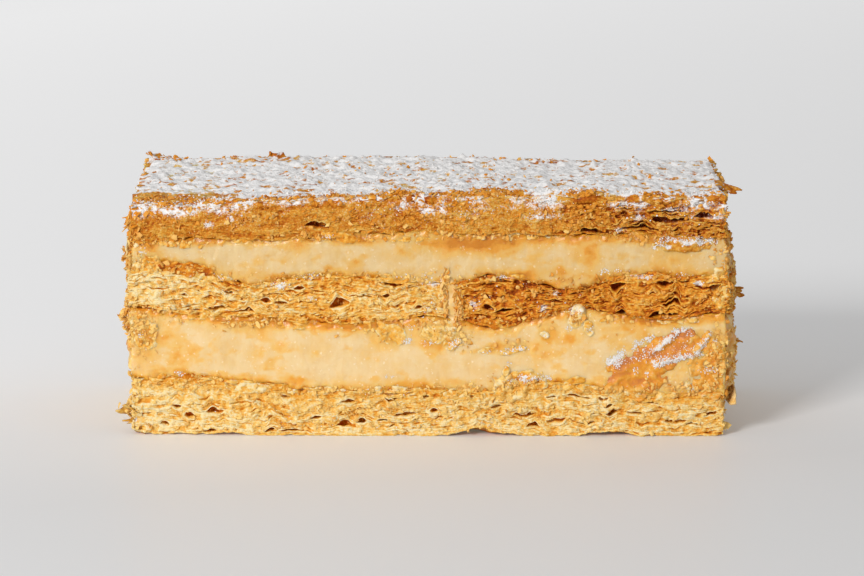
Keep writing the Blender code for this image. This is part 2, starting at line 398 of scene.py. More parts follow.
def pastry_layer(name, node, leaves, seed, flaky, crumb, firm, pockets, bake):
    """A pastry layer whose cut sides are a stack of separate leaves, opening and closing.

    firm tells how far the uppermost leaves stick together.
    """
    outline = Outline(node, 0.25 * MM, 0.42 * MM)
    floor, roof = Face(node, False), Face(node, True)
    plan, columns = outline.plan, len(outline.plan)
    bottom, top = floor.at(plan), roof.at(plan)
    if node == "pastry_top":
        top = top + back_lift(plan)
    if node == "pastry_bottom":
        bottom = bottom + MM * np.interp(plan[:, 0] / MM, FOOT_ALONG, FOOT_LIFT)
    front = 1.0 - ease(plan[:, 1], outline.low[1] + 1 * MM, outline.low[1] + 3 * MM)
    loose = flaky(plan / MM, front)

    # How far each leaf is set back from the cut, and how thick it is.
    setback, thick = np.empty((leaves, columns)), np.empty((leaves, columns))
    common = 0.3 * wander(leaf_points(plan, 0), 11 * MM, seed)
    for leaf in range(leaves):
        near, here = leaf_points(plan, leaf * 0.5), leaf_points(plan, leaf * 2.3)
        slack = loose * (1.0 - firm * ease((leaf + 0.5) / leaves, 0.55, 0.8))
        shared = 0.34 * wander(near, (2.8 * MM, 2.8 * MM, MM), seed + 1)
        torn = 0.28 * wander(here, (2.2 * MM, 2.2 * MM, MM), seed + 2)
        torn += 0.2 * wander(here, (0.9 * MM, 0.9 * MM, MM), seed + 3) + 0.14 * wander(here, (0.55 * MM, 0.55 * MM, MM), seed + 19)
        bites = 0.45 * ease(wander(here, (1.5 * MM, 1.5 * MM, MM), seed + 4), 0.35, 0.6)
        bites += 0.8 * ease(wander(near, (3.4 * MM, 3.4 * MM, MM), seed + 17), 0.6, 0.75)
        # The outermost leaves are frayed.
        fray = 0.5 * max(0.0, 1.0 - min(leaf, leaves - 1 - leaf) / 2.0) * wander(here, (1.4 * MM, 1.4 * MM, MM), seed + 18)
        setback[leaf] = MM * (0.75 + common + shared * (0.6 + 0.4 * loose) + (torn + bites) * slack + fray)
        if node == "pastry_bottom":
            setback[leaf] -= 0.6 * MM * front * max(0.0, 1.0 - leaf / 4.0) * ease(abs(plan[:, 0]), 58 * MM, 44 * MM)
        thick[leaf] = 1.0 + 0.4 * wander(here, (4.5 * MM, 4.5 * MM, MM), seed + 5)
        thick[leaf] += 0.35 * wander(here, (1.3 * MM, 1.3 * MM, MM), seed + 20)
    setback = np.maximum(setback, 0.0)

    # How far each pair of leaves stands apart.
    gap = np.zeros((leaves + 1, columns))
    for joint in range(1, leaves):
        here = leaf_points(plan, joint * 2.3)
        swell = wander(here, (4.2 * MM, 4.2 * MM, MM), seed + 6)
        swell += 0.8 * wander(here, (1.5 * MM, 1.5 * MM, MM), seed + 7)
        slack = loose * (1.0 - firm * ease(joint / leaves, 0.55, 0.8))
        gap[joint] = 0.45 * MM * np.maximum(swell - 0.45, 0.0) * slack + 0.01 * MM
    hollow = np.zeros((leaves + 1, columns))
    for x, z, width, height in pockets:
        joint = gap_at(front, plan, bottom, top, leaves, (x * MM, z * MM))
        here = leaf_points(plan, joint * 2.3 + x)
        skew = 1.0 + 0.4 * wander(here, (1.3 * MM, 1.3 * MM, MM), seed + 8)
        skew += 0.35 * wander(here, (0.6 * MM, 0.6 * MM, MM), seed + 23)
        lens = (1.0 - ((plan[:, 0] - x * MM) / (width * MM / 2)) ** 2) * skew
        gap[joint] = np.maximum(gap[joint], front * 0.95 * height * MM * np.maximum(lens, 0.0) ** 0.7)
        hollow[joint] = np.maximum(hollow[joint], front * 0.9 * MM * ease(lens, 0.0, 0.5))
    height = (top - bottom - gap.sum(axis=0)) * thick / thick.sum(axis=0)
    under = bottom + np.cumsum(gap[:-1], axis=0) + np.cumsum(height, axis=0) - height
    over = under + height

    # Rows of points: into the gap below the leaf, round its edge, and into the gap above it.
    rows, recess, share = [], [], []
    for leaf in range(leaves):
        roots = []
        for joint, other in ((leaf, leaf - 1), (leaf + 1, leaf + 1)):
            beside = setback[other] if 0 <= other < leaves else setback[leaf]
            here = leaf_points(plan, joint * 2.3 + 0.5)
            crack = 0.14 * MM * ease(wander(here, (1.8 * MM, 1.8 * MM, MM), seed + 9), 0.1, 0.7) * loose
            opening = gap[joint]
            depth = crack + 0.55 * MM * ease(opening, 0.05 * MM, 0.5 * MM) + opening + hollow[joint]
            roots.append(np.maximum(setback[leaf], beside) + depth)
        edge = setback[leaf]
        lift = 0.14 * MM * wander(leaf_points(plan, leaf * 2.3 + 0.25), (1.6 * MM, 1.6 * MM, MM), seed + 10)
        for distance, level in (
            (roots[0], under[leaf]),
            (edge, under[leaf] + 0.2 * height[leaf] + lift),
            (edge, over[leaf] - 0.2 * height[leaf] + lift),
            (roots[1], over[leaf]),
        ):
            rows.append(np.column_stack([outline.inward(distance), level]))
            recess.append(distance)
            share.append((leaf + 0.5) / leaves)
    rim = 3.2 * MM + 0 * bottom
    rows.insert(0, np.column_stack([outline.inward(rim), floor.at(outline.inward(rim))]))
    rows.append(np.column_stack([outline.inward(rim), roof.at(outline.inward(rim))]))
    recess = np.array([rim] + recess + [rim])
    share = np.array([0.0] + share + [1.0])
    rows = np.array(rows)

    # The whole stack is wavy, and its cut is crumbly.
    flat = rows.reshape(-1, 3)
    loosely = np.tile(loose, len(rows))
    calm = 0.5 + 0.5 * np.clip(loosely, 0.0, 1.0)
    wave = 0.32 * MM * wander(flat, (5.0 * MM, 5.0 * MM, 2.0 * MM), seed + 11)
    wave += 0.16 * MM * wander(flat, (1.8 * MM, 1.8 * MM, 0.9 * MM), seed + 12)
    grain = wander(flat, 1.0 * MM, seed + 13)
    fine = wander(flat, 0.6 * MM, seed + 14)
    pit = -1.1 * ease(wander(flat, (1.3 * MM, 1.3 * MM, 0.9 * MM), seed + 15), 0.42, 0.75)
    out = np.tile(outline.out, (len(rows), 1))
    push = crumb * calm * MM * (0.7 * grain + 0.7 * fine + pit) + end_raggedness(flat, out, seed)
    shake = 0.45 * crumb * MM * wander(flat, 0.8 * MM, seed + 16)
    moved = flat + np.column_stack([out * push[:, None], wave + shake])
    moved[:, 2] = np.maximum(moved[:, 2], 0.02 * MM)
    moved = moved.reshape(rows.shape)
    moved[:, -1] = moved[:, 0]

    # Painted shade: the deeper a point lies in the cut, and the deeper than its neighbours, the browner its colour;
    # edges that stand out are painted paler.
    depth = (recess.ravel() - 0.75 * MM - push).reshape(len(rows), columns) / MM
    cavity = depth - smoothed(depth, 10)
    marks = {
        "bake": bake(flat / MM, np.repeat(share, columns), loosely),
        "recess": np.clip(0.55 * depth + 0.9 * cavity, -0.35, 0.8).ravel(),
        "sugar": powder(moved.reshape(-1, 3) / MM, out, seed),
    }
    return closed_band(name, outline, moved, floor, roof, marks)


# ---------------------------------------------------------------- custard


def custard_layer(name, node, seed, lap_under, lap_over, stains_and_shade):
    """A custard layer: swelling, wiped by the knife, and lapping over the pastry above and below."""
    outline = Outline(node, 0.3 * MM, 0.42 * MM)
    floor, roof = Face(node, False), Face(node, True)
    plan, columns = outline.plan, len(outline.plan)
    bottom, top = floor.at(plan), roof.at(plan)
    height = (top - bottom).mean()
    ranks = round(height / (0.3 * MM))
    lap = []
    for amount, leaf in ((lap_under, 0), (lap_over, 9)):
        here = leaf_points(plan, leaf)
        reach = 0.9 + 0.9 * wander(here, (4 * MM, 4 * MM, MM), seed) + 0.7 * wander(here, (1.4 * MM, 1.4 * MM, MM), seed + 1)
        lap.append(amount * MM * np.maximum(reach, 0.1))
    rows, near = [], []
    for rank in range(-3, ranks + 4):
        share = np.clip(rank / ranks, 0.0, 1.0)
        level = bottom - lap[0] + (top - bottom + lap[0] + lap[1]) * share
        turn = max(-rank, rank - ranks, 0)
        distance = 0.55 * MM + [0.0, 0.25, 0.9, 2.6][turn] * MM + 0 * level
        # It thins out where it laps over the pastry.
        from_edge = np.minimum(level - bottom, top - level)
        distance = distance + 0.4 * MM * ease(from_edge, 0.9 * MM, -0.6 * MM)
        rows.append(np.column_stack([outline.inward(distance), level + [0, 0.1, 0.2, 0.2][turn] * MM * (1 if rank > 0 else -1)]))
        near.append(from_edge)
    rows, near = np.array(rows), np.array(near).ravel()
    flat = rows.reshape(-1, 3)
    swell = 0.3 * wander(flat, (10 * MM, 10 * MM, 7 * MM), seed + 2)
    swell += 0.09 * wander(flat, (3.2 * MM, 3.2 * MM, 3.6 * MM), seed + 3)
    streak = 0.03 * wander(flat, (1.0 * MM, 1.0 * MM, 6 * MM), seed + 4)
    lumps = 0.05 * wander(flat, 1.3 * MM, seed + 5) + 0.04 * wander(flat, 0.75 * MM, seed + 6)
    bits = 0.08 * ease(wander(flat, 1.7 * MM, seed + 7), 0.6, 0.9)
    ragged = 0.3 * ease(near, 1.2 * MM, 0.0) * wander(flat, 0.9 * MM, seed + 8)
    out = np.tile(outline.out, (len(rows), 1))
    crumbly = abs(out[:, 0]) * (0.28 * wander(flat, 1.1 * MM, seed + 14) + 0.2 * wander(flat, 0.75 * MM, seed + 15))
    push = MM * (swell + streak + lumps + bits + ragged + crumbly) + end_raggedness(flat, out, seed)
    moved = flat + np.column_stack([out * push[:, None], 0.25 * MM * wander(flat, 1.5 * MM, seed + 9)])
    moved = moved.reshape(rows.shape)
    moved[:, -1] = moved[:, 0]

    here = flat / MM
    # Golden stains where the custard has soaked the pastry, and painted warm shade along its seams with the pastry.
    stain = 0.9 * ease(near + 0.9 * MM * rough(flat, (3 * MM, 3 * MM, 1.4 * MM), seed + 10), 2.0 * MM, -0.6 * MM)
    stain += 0.7 * ease(rough(flat, (5 * MM, 5 * MM, 3 * MM), seed + 11), 0.1, 0.9)
    stain += 0.5 * ease(rough(flat, (2.6 * MM, 2.6 * MM, 1.7 * MM), seed + 16), 0.3, 0.9)
    stain += abs(out[:, 0]) * (0.55 + 0.5 * wander(flat, 2.2 * MM, seed + 13))
    on_front = ease(here[:, 1], outline.low[1] / MM + 3.0, outline.low[1] / MM + 1.0)
    for x, z, width, tall, amount in stains_and_shade:
        away = ((here[:, 0] - x) / width * 2) ** 2 + ((here[:, 2] - z) / tall * 2) ** 2
        stain += on_front * amount * np.exp(-1.6 * np.maximum(away + 0.35 * rough(flat, 2 * MM, seed + 12), 0.0))
    return closed_band(name, outline, moved, floor, roof, {"stain": stain})


# ---------------------------------------------------------------- the top and its icing sugar


# How far behind the front edge the icing sugar begins, along the slice, in mm. Below zero it spills over.
SUGAR_ALONG = [-60, -52, -44, -38, -31, -20, -14, -8, 0, 6, 13.5, 18.6, 24.7, 32.8, 39, 43, 45, 51, 55, 60]
SUGAR_BEHIND = [-1, -1, 0, 2.5, 3.4, 3.5, 2.5, 5.5, 1.8, 4, 8.7, 3.7, -1, 6, 1, -1, 4.9, 2.4, -1.5, 1]


def sugar_cover(points, front):
    """How much icing sugar lies at each point of the top, from 0 to 1. Points are in mm."""
    x, behind = points[:, 0], points[:, 1] - front
    flat = points * MM * [1.0, 1.0, 0.0]
    limit = np.interp(x, SUGAR_ALONG, SUGAR_BEHIND) + 1.2 * rough(flat, (3 * MM, 3 * MM, MM), 41)
    limit += 1.3 * wander(flat, 0.95 * MM, 46)
    cover = ease(behind - limit, -0.5, 1.2)
    # A browned patch without sugar behind the front left corner.
    bare = ease(((x + 52) / 13) ** 2 + ((behind - 7.5) / 5.5) ** 2 + 0.9 * rough(flat, (4 * MM, 4 * MM, MM), 42), 1.3, 0.7)
    cover *= 1.0 - 0.8 * bare
    # Small bare flakes and thin places all over.
    specks = 0.75 * ease(wander(flat, (2.4 * MM, 1.6 * MM, MM), 43), 0.5, 0.9)
    pricks = ease(wander(flat, (1.1 * MM, 0.8 * MM, MM), 44), 0.25, 0.8)
    at_rim = ease(np.minimum.reduce([x + 62, 62 - x, 51 + 0 * x - behind]), 4.5, 0.5)
    specks = np.maximum(specks, 0.7 * pricks)
    specks = np.maximum(specks, at_rim * ease(wander(flat, (1.9 * MM, 1.9 * MM, MM), 45), 0.0, 0.5))
    cover *= ease(behind + 0.7 * wander(flat, 0.8 * MM, 47), 1.0, 1.7)
    return cover * (1.0 - specks)


def back_lift(plan):
    """How much higher than its solid the top lies towards the back right corner."""
    return 1.4 * MM * ease(plan[..., 0], 22 * MM, 54 * MM) * ease(plan[..., 1], -22 * MM, 22 * MM)


def dusted_top(name):
    """The browned top leaf with its icing sugar, as one rough slab set into the top pastry."""
    low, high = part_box("pastry_top")
    roof = Face("pastry_top", True)
    step, rim_drop = 0.34 * MM, 1.3 * MM
    wide, deep = high.x - low.x - 2.2 * MM, high.y - low.y - 2.2 * MM
    bpy.ops.mesh.primitive_grid_add(x_subdivisions=round(wide / step), y_subdivisions=round(deep / step), size=1.0)
    top = fresh(name)
    points = points_of(top)
    centre = np.array([(low.x + high.x) / 2, (low.y + high.y) / 2])
    plan = centre + points[:, :2] * [wide, deep]
    inward = np.minimum(wide / 2 - abs(plan[:, 0] - centre[0]), deep / 2 - abs(plan[:, 1] - centre[1]))
    flat = np.column_stack([plan, np.zeros(len(plan))])
    at_rim = ease(inward, 1.6 * MM, 0.0)
    pull = at_rim * (0.45 * wander(flat, 3 * MM, 51) + 0.35 * wander(flat, 1.1 * MM, 52))
    plan = plan - MM * pull[:, None] * np.sign(plan - centre) * (abs(plan - centre) > np.array([wide, deep]) / 2 - 1.6 * MM)
    cover = sugar_cover(flat / MM, low.y / MM)
    height = roof.at(plan) + 0.15 * MM + back_lift(plan)
    height += MM * (0.32 * rough(flat, (9 * MM, 7 * MM, MM), 53) + 0.22 * wander(flat, 2.4 * MM, 54))
    scales = ease(wander(flat, (4.5 * MM, 3.5 * MM, MM), 55), 0.12, 0.3) * 0.3 * MM
    bare = (1.0 - cover) * MM * (0.3 * wander(flat, 1.2 * MM, 62) + 0.2 * wander(flat, 0.7 * MM, 63))
    height += scales + 0.12 * MM * wander(flat, 0.9 * MM, 56) + bare
    clumped = 0.25 + 0.3 * wander(flat, 1.2 * MM, 57) + 0.25 * wander(flat, 0.72 * MM, 58)
    height += cover * MM * np.maximum(clumped, 0.05)
    height -= at_rim * (0.5 + 0.35 * wander(flat, 2 * MM, 59)) * MM
    put_points(top, np.column_stack([plan, height]))
    brownness = 0.5 + 0.25 * rough(flat, (6 * MM, 6 * MM, MM), 60) + 0.2 * wander(flat, (1.5 * MM, 1.5 * MM, MM), 61)
    put_marks(top, "bake", brownness + 0.08 * at_rim)
    put_marks(top, "recess", 0.0 * cover)
    put_marks(top, "sugar", cover)
    pick(top)
    bpy.ops.object.mode_set(mode="EDIT")
    bpy.ops.mesh.select_mode(type="EDGE")
    bpy.ops.mesh.select_all(action="DESELECT")
    bpy.ops.mesh.select_non_manifold(
        use_wire=False, use_boundary=True, use_multi_face=False, use_non_contiguous=False, use_verts=False
    )
    bpy.ops.mesh.extrude_region_move(TRANSFORM_OT_translate={"value": (0.0, 0.0, -rim_drop)})
    bpy.ops.mesh.edge_face_add()
    bpy.ops.object.mode_set(mode="OBJECT")
    top.data.shade_smooth()
    return top


# ---------------------------------------------------------------- torn leaves on the cuts


class Surface:
    """The made pieces as one surface to lay things on, felt from the front."""

    def __init__(self, pieces):
        graph = bpy.context.evaluated_depsgraph_get()
        self.trees = [BVHTree.FromObject(piece, graph) for piece in pieces]

    def feel(self, start, way):
        """The nearest hit from start along way, and the surface's direction there."""
        best = None
        for tree in self.trees:
            place, normal, _, distance = tree.ray_cast(start, way)
            if place is not None and (best is None or distance < best[2]):
                best = (place, normal, distance)
        return best

    def front(self, x, z):
        """How far back the front cut lies at x, z."""
        hit = self.feel(Vector((x, -0.1, z)), Vector((0.0, 1.0, 0.0)))
        return hit[0].y if hit and hit[0].y < 0.0 else None


def line_share(x, z, line):
    """Distance of each point from a line between two ends, all in mm."""
    (x0, z0), (x1, z1) = line
    length = math.hypot(x1 - x0, z1 - z0) + 1e-9
    along = np.clip(((x - x0) * (x1 - x0) + (z - z0) * (z1 - z0)) / length**2, 0.0, 1.0)
    return np.hypot(x - x0 - along * (x1 - x0), z - z0 - along * (z1 - z0))


def torn_leaf(name, surface, seed, centre, size, tilt, stand, bake, folds, crumbly=0.0, sugared=0.25, creased=0.3, burns=()):
    """A torn leaf pressed on the front cut. Its edge sinks into what it lies on. All in mm and degrees.

    A crumbly one breaks up into crumbs. Burns are browner patches: centre across, height, half width, half height, amount.
    """
    step, thick = 0.3 - 0.05 * (crumbly > 0), 0.3
    wide, tall = size
    bpy.ops.mesh.primitive_grid_add(x_subdivisions=round(wide / step), y_subdivisions=round(tall / step), size=1.0)
    leaf = fresh(name)
    u, v, _ = points_of(leaf).T
    turn = math.radians(tilt)
    along, up = u * wide, v * tall
    x = centre[0] + along * math.cos(turn) - up * math.sin(turn)
    z = centre[1] + along * math.sin(turn) + up * math.cos(turn)
    flat = np.column_stack([x, 0 * x, z]) * MM
    spread = np.hypot(u * 2, v * 2) + 0.3 * rough(flat, 4.5 * MM, seed) + 0.2 * rough(flat, 1.2 * MM, seed + 1)
    inside = ease(spread, 1.0, 0.72 if crumbly else 0.55)
    wrinkles = 1.0 - abs(wander(flat, (3.0 * MM, MM, 2.0 * MM), seed + 2)) * 2.2
    wrinkles += 0.5 - abs(wander(flat, (1.7 * MM, MM, 1.4 * MM), seed + 12)) * 1.4
    relief = stand * (0.5 + creased * wrinkles) + 0.18 * rough(flat, 1.4 * MM, seed + 3)
    fold_share = 0 * x
    for ends, high, width in folds:
        away = line_share(x + 0.5 * wander(flat, 2.2 * MM, seed + 4), z + 0.4 * wander(flat, 1.7 * MM, seed + 5), ends)
        ridge = np.exp(-((away / width) ** 2))
        relief += high * ridge
        fold_share = np.maximum(fold_share, ridge)
    crumbs = wander(flat, 1.1 * MM, seed + 9) + 0.8 * wander(flat, 0.62 * MM, seed + 10)
    relief += crumbly * crumbs
    depth = np.array([surface.front(a, c) or np.nan for a, c in zip(flat[:, 0], flat[:, 2])])
    depth = np.where(np.isnan(depth), np.nanmedian(depth), depth)
    shape = (round(tall / step) + 1, round(wide / step) + 1)
    depth = smoothed(depth.reshape(shape), 3).ravel()
    y = depth + (0.9 - inside * (0.9 + np.maximum(relief, -0.5 if crumbly else 0.12))) * MM
    put_points(leaf, np.column_stack([flat[:, 0], y, flat[:, 2]]))
    tone = bake + 0.3 * rough(flat, (4 * MM, MM, 2.6 * MM), seed + 6) - 0.1 * fold_share - 0.2 * creased * wrinkles
    tone -= 0.35 * ease(spread, 0.55, 0.95)
    for px, pz, half_wide, half_tall, amount in burns:
        tone += amount * np.exp(-(((x - px) / half_wide) ** 2) - ((z - pz) / half_tall) ** 2)
    put_marks(leaf, "bake", tone)
    put_marks(leaf, "stain", 0.35 + tone)
    # Painted shade: the hollows between the crumbs are browner and the crumbs' tops paler.
    put_marks(leaf, "recess", -0.6 * crumbly * crumbs)
    dust = 0.7 * ease(fold_share + 0.9 * rough(flat, 1.1 * MM, seed + 7), 0.5, 1.3) if folds else 0 * x
    speck = sugared * ease(wander(flat, 0.8 * MM, seed + 8), 0.45, 0.6)
    put_marks(leaf, "sugar", np.maximum(dust, speck))
    change(leaf, "SOLIDIFY", thickness=thick * MM, offset=-1.0)
    leaf.data.shade_smooth()
    return leaf


def smoothed(grid, times):
    """A grid of numbers with each averaged with its neighbours."""
    for _ in range(times):
        padded = np.pad(grid, 1, mode="edge")
        grid = (padded[:-2, 1:-1] + padded[2:, 1:-1] + padded[1:-1, :-2] + padded[1:-1, 2:] + 2 * grid) / 6
    return grid


def loose_flake(name, seed, root, way, length, width, droop, bake, twist=0.0, thick=0.28):
    """A thin leaf that stands out from the slice at root, in mm, towards way, and droops or rises to its tip."""
    bpy.ops.mesh.primitive_grid_add(x_subdivisions=26, y_subdivisions=20, size=1.0)
    flake = fresh(name)
    u, v, _ = points_of(flake).T
    out = np.array([math.cos(math.radians(way)), math.sin(math.radians(way))])
    side = np.array([-out[1], out[0]])
    share = u + 0.5
    local = np.column_stack([u * length, v * width, 0 * u]) * MM
    taper = 1.0 - 0.45 * share + 0.3 * share * wander(local, 2 * MM, seed)
    far = (share * length * (1.0 + 0.35 * wander(local * [0, 1, 0], 1.4 * MM, seed + 1)) - 0.8)[:, None]
    across = (v * width * taper)[:, None]
    plan = np.array(root[:2]) + out * far + side * across
    z = root[2] - droop * share**2 * length + twist * v * width * share
    z = z + 0.35 * wander(local, 1.8 * MM, seed + 2) + 0.12 * wander(local, 0.7 * MM, seed + 3)
    put_points(flake, np.column_stack([plan, np.maximum(z, 0.35)]) * MM)
    put_marks(flake, "bake", bake + 0.2 * wander(local, 1.5 * MM, seed + 4) + 0.1 * share)
    put_marks(flake, "recess", 0 * u)
    put_marks(flake, "sugar", (0.7 if root[2] > 48 else 0.3) * ease(wander(local, 1.1 * MM, seed + 5), 0.0, 0.6))
    change(flake, "SOLIDIFY", thickness=thick * MM, offset=0.0)
    flake.data.shade_smooth()
    return flake


# ---------------------------------------------------------------- crumbs and grains


def pebble(seed, detail, squash, uneven=0.5):
    """One small rough lump of unit size: its points and faces."""
    bpy.ops.mesh.primitive_ico_sphere_add(subdivisions=detail, radius=1.0)
    lump = fresh("lump")
    points = points_of(lump)
    points = points * (1.0 + uneven * wander(points * 7.3, 1.0, seed)[:, None]) * [1.0, 1.0, squash]
    faces = np.array([face.vertices[:] for face in lump.data.polygons])
    bpy.data.objects.remove(lump)
    return points, faces


def chip(seed):
    """One thin bent flake of unit size with a torn outline: its points and faces."""
    bpy.ops.mesh.primitive_cylinder_add(vertices=9, radius=1.0, depth=0.2, end_fill_type="TRIFAN")
    flake = change(fresh("flake"), "TRIANGULATE")
    points = points_of(flake)
    reach = 1.0 + 0.55 * wander(points * [5.1, 5.1, 0.0], 1.0, seed)[:, None]
    points = points * reach * [1.0, 0.72, 1.0]
    points[:, 2] += 0.3 * wander(points * [1.2, 1.2, 0.0], 1.0, seed + 1)
    faces = np.array([face.vertices[:] for face in flake.data.polygons])
    bpy.data.objects.remove(flake)
    return points, faces


def scattered(name, spots, kinds, seed, sink=0.2, darkening=None):
    """Many small lumps as one piece. Each spot is a place, the way out there, and a size."""
    rng = np.random.default_rng(seed)
    all_points, all_faces, tones, count = [], [], [], 0
    for place, out, size in spots:
        points, faces = kinds[rng.integers(len(kinds))]
        lean = Vector(out) + Vector(rng.normal(0.0, 0.45, 3))
        turn = lean.to_track_quat("Z", "Y").to_matrix()
        spin = rng.uniform(0, 2 * math.pi)
        stretch = rng.uniform(0.75, 1.35, 3)
        turned = points * stretch
        turned = turned @ np.array([[math.cos(spin), -math.sin(spin), 0], [math.sin(spin), math.cos(spin), 0], [0, 0, 1]])
        turned = turned @ np.array(turn).T
        all_points.append(turned * size + np.array(place) + np.array(out) * size * (1 - 2 * sink) * 0.5)
        all_faces.append(faces + count)
        tones.append(np.full(len(points), rng.uniform() if darkening is None else darkening(place) + rng.normal(0, 0.22)))
        count += len(points)
    points = np.concatenate(all_points)
    points[:, 2] = np.maximum(points[:, 2], 0.02 * MM)
    mesh = bpy.data.meshes.new(name)
    mesh.from_pydata(points, [], np.concatenate(all_faces))
    piece = bpy.data.objects.new(name, mesh)
    bpy.context.scene.collection.objects.link(piece)
    put_marks(piece, "tone", np.concatenate(tones))
    return piece


def along_lines(lines, rng):
    """Clusters of one grain each, strung unevenly along lines."""
    clusters = []
    for (x0, z0), (x1, z1), spread, count in lines:
        for _ in range(count):
            share = rng.uniform()
            thin = spread * (0.25 + 0.75 * abs(math.sin(9.0 * share + x0)))
            x = x0 + (x1 - x0) * share + 0.35 * math.sin(23.0 * share + z0)
            z = z0 + (z1 - z0) * share + 0.4 * math.sin(17.0 * share + x0)
            clusters.append((x, z, 1.3 * thin, thin, 2))
    return clusters


def front_spots(surface, clusters, rng, sizes):
    """Spots on the front cut for clusters of x, z, half width, half height and count, in mm."""
    spots = []
    for x, z, wide, tall, count in clusters:
        for _ in range(count):
            a, c = rng.normal(x, wide * 0.55), rng.normal(z, tall * 0.55)
            hit = surface.feel(Vector((a * MM, -0.1, c * MM)), Vector((0.0, 1.0, 0.0)))
            if hit and hit[0].y < -15 * MM:
                spots.append((hit[0], hit[1], (sizes[0] + (sizes[1] - sizes[0]) * rng.uniform() ** 2) * MM))
    return spots


# ---------------------------------------------------------------- materials


class Value:
    """A number, colour or vector that varies over a surface. Arithmetic on numbers adds Math nodes."""

    def __init__(self, finish, socket):
        self.finish, self.socket = finish, socket

    def math(self, operation, first, second):
        return self.finish.node("ShaderNodeMath", {"operation": operation}, {0: first, 1: second})

    def __add__(self, other):
        return self.math("ADD", self, other)

    def __radd__(self, other):
        return self.math("ADD", other, self)

    def __sub__(self, other):
        return self.math("SUBTRACT", self, other)

    def __rsub__(self, other):
        return self.math("SUBTRACT", other, self)

    def __mul__(self, other):
        return self.math("MULTIPLY", self, other)

    def __rmul__(self, other):
        return self.math("MULTIPLY", other, self)


class Finish:
    """A material under construction."""

    def __init__(self, name):
        self.material = bpy.data.materials.new(name)
        self.material.use_nodes = True
        self.tree = self.material.node_tree
        self.shader = self.tree.nodes["Principled BSDF"]

    def node(self, kind, settings, inputs, output=0):
        """Adds a node with its settings, feeds its sockets, and gives one of its outputs."""
        made = self.tree.nodes.new(kind)
        for key, value in settings.items():
            if key == "stops":
                ramp = made.color_ramp.elements
                while len(ramp) < len(value):
                    ramp.new(0.5)
                for element, (place, colour) in zip(ramp, value):
                    element.position, element.color = place, colour
            else:
                setattr(made, key, value)
        for key, value in inputs.items():
            self.feed(made.inputs[key], value)
        return Value(self, made.outputs[output])

    def feed(self, socket, value):
        if isinstance(value, Value):
            self.tree.links.new(value.socket, socket)
        else:
            socket.default_value = value

    def set(self, **inputs):
        """Feeds the shader's own sockets, named with _ for a space."""
        for key, value in inputs.items():
            self.feed(self.shader.inputs[key.replace("_", " ")], value)

    def powdered(self, share, **inputs):
        """Lays a plain powder over the surface where share is 1."""
        named = {key.replace("_", " "): value for key, value in inputs.items()}
        powder = self.node("ShaderNodeBsdfPrincipled", {}, named, "BSDF")
        under = Value(self, self.shader.outputs["BSDF"])
        mixed = self.node("ShaderNodeMixShader", {}, {0: share, 1: under, 2: powder})
        self.tree.links.new(mixed.socket, self.tree.nodes["Material Output"].inputs["Surface"])

    def mark(self, name):
        """A number kept for each point of the piece."""
        return self.node("ShaderNodeAttribute", {"attribute_name": name}, {}, "Fac")

    def place(self, size=(1.0, 1.0, 1.0)):
        """Object coordinates, in units of the given size in metres."""
        coords = self.node("ShaderNodeTexCoord", {}, {}, "Object")
        return self.node("ShaderNodeMapping", {}, {"Vector": coords, "Scale": tuple(1.0 / s for s in size)})

    def noise(self, size, detail=3.0, roughness=0.5):
        """Noise from 0 to 1 with swells of that size in metres, or of three sizes along the axes."""
        sizes = (size,) * 3 if isinstance(size, float) else size
        return self.node(
            "ShaderNodeTexNoise", {}, {"Vector": self.place(sizes), "Scale": 1.0, "Detail": detail, "Roughness": roughness}
        )

    def cells(self, size, wobble):
        """Distance from the middle of small uneven cells: 0 in the middle, about 1 in the creases between them."""
        sway = self.node("ShaderNodeTexNoise", {}, {"Vector": self.place(), "Scale": 1.0 / wobble, "Detail": 2.0}, 1)
        place = self.node(
            "ShaderNodeMix", {"data_type": "RGBA", "blend_type": "LINEAR_LIGHT"}, {0: 0.35, 6: self.place((size,) * 3), 7: sway}, 2
        )
        return self.node("ShaderNodeTexVoronoi", {"feature": "F1"}, {"Vector": place, "Scale": 1.0}, "Distance")

    def span(self, value, low, high, to_low=0.0, to_high=1.0):
        """Maps low..high smoothly to to_low..to_high."""
        return self.node(
            "ShaderNodeMapRange",
            {"interpolation_type": "SMOOTHSTEP"},
            {"Value": value, "From Min": low, "From Max": high, "To Min": to_low, "To Max": to_high},
        )

    def mix(self, share, first, second):
        """A colour between first, at 0, and second, at 1."""
        pair = [c if isinstance(c, Value) else (*c, 1.0) for c in (first, second)]
        return self.node("ShaderNodeMix", {"data_type": "RGBA"}, {0: share, 6: pair[0], 7: pair[1]}, 2)

    def bump(self, height, distance, strength=1.0, under=None):
        inputs = {"Height": height, "Distance": distance, "Strength": strength}
        if under is not None:
            inputs["Normal"] = under
        return self.node("ShaderNodeBump", {}, inputs)


SUGAR_WHITE = (0.80, 0.785, 0.775, 1.0)


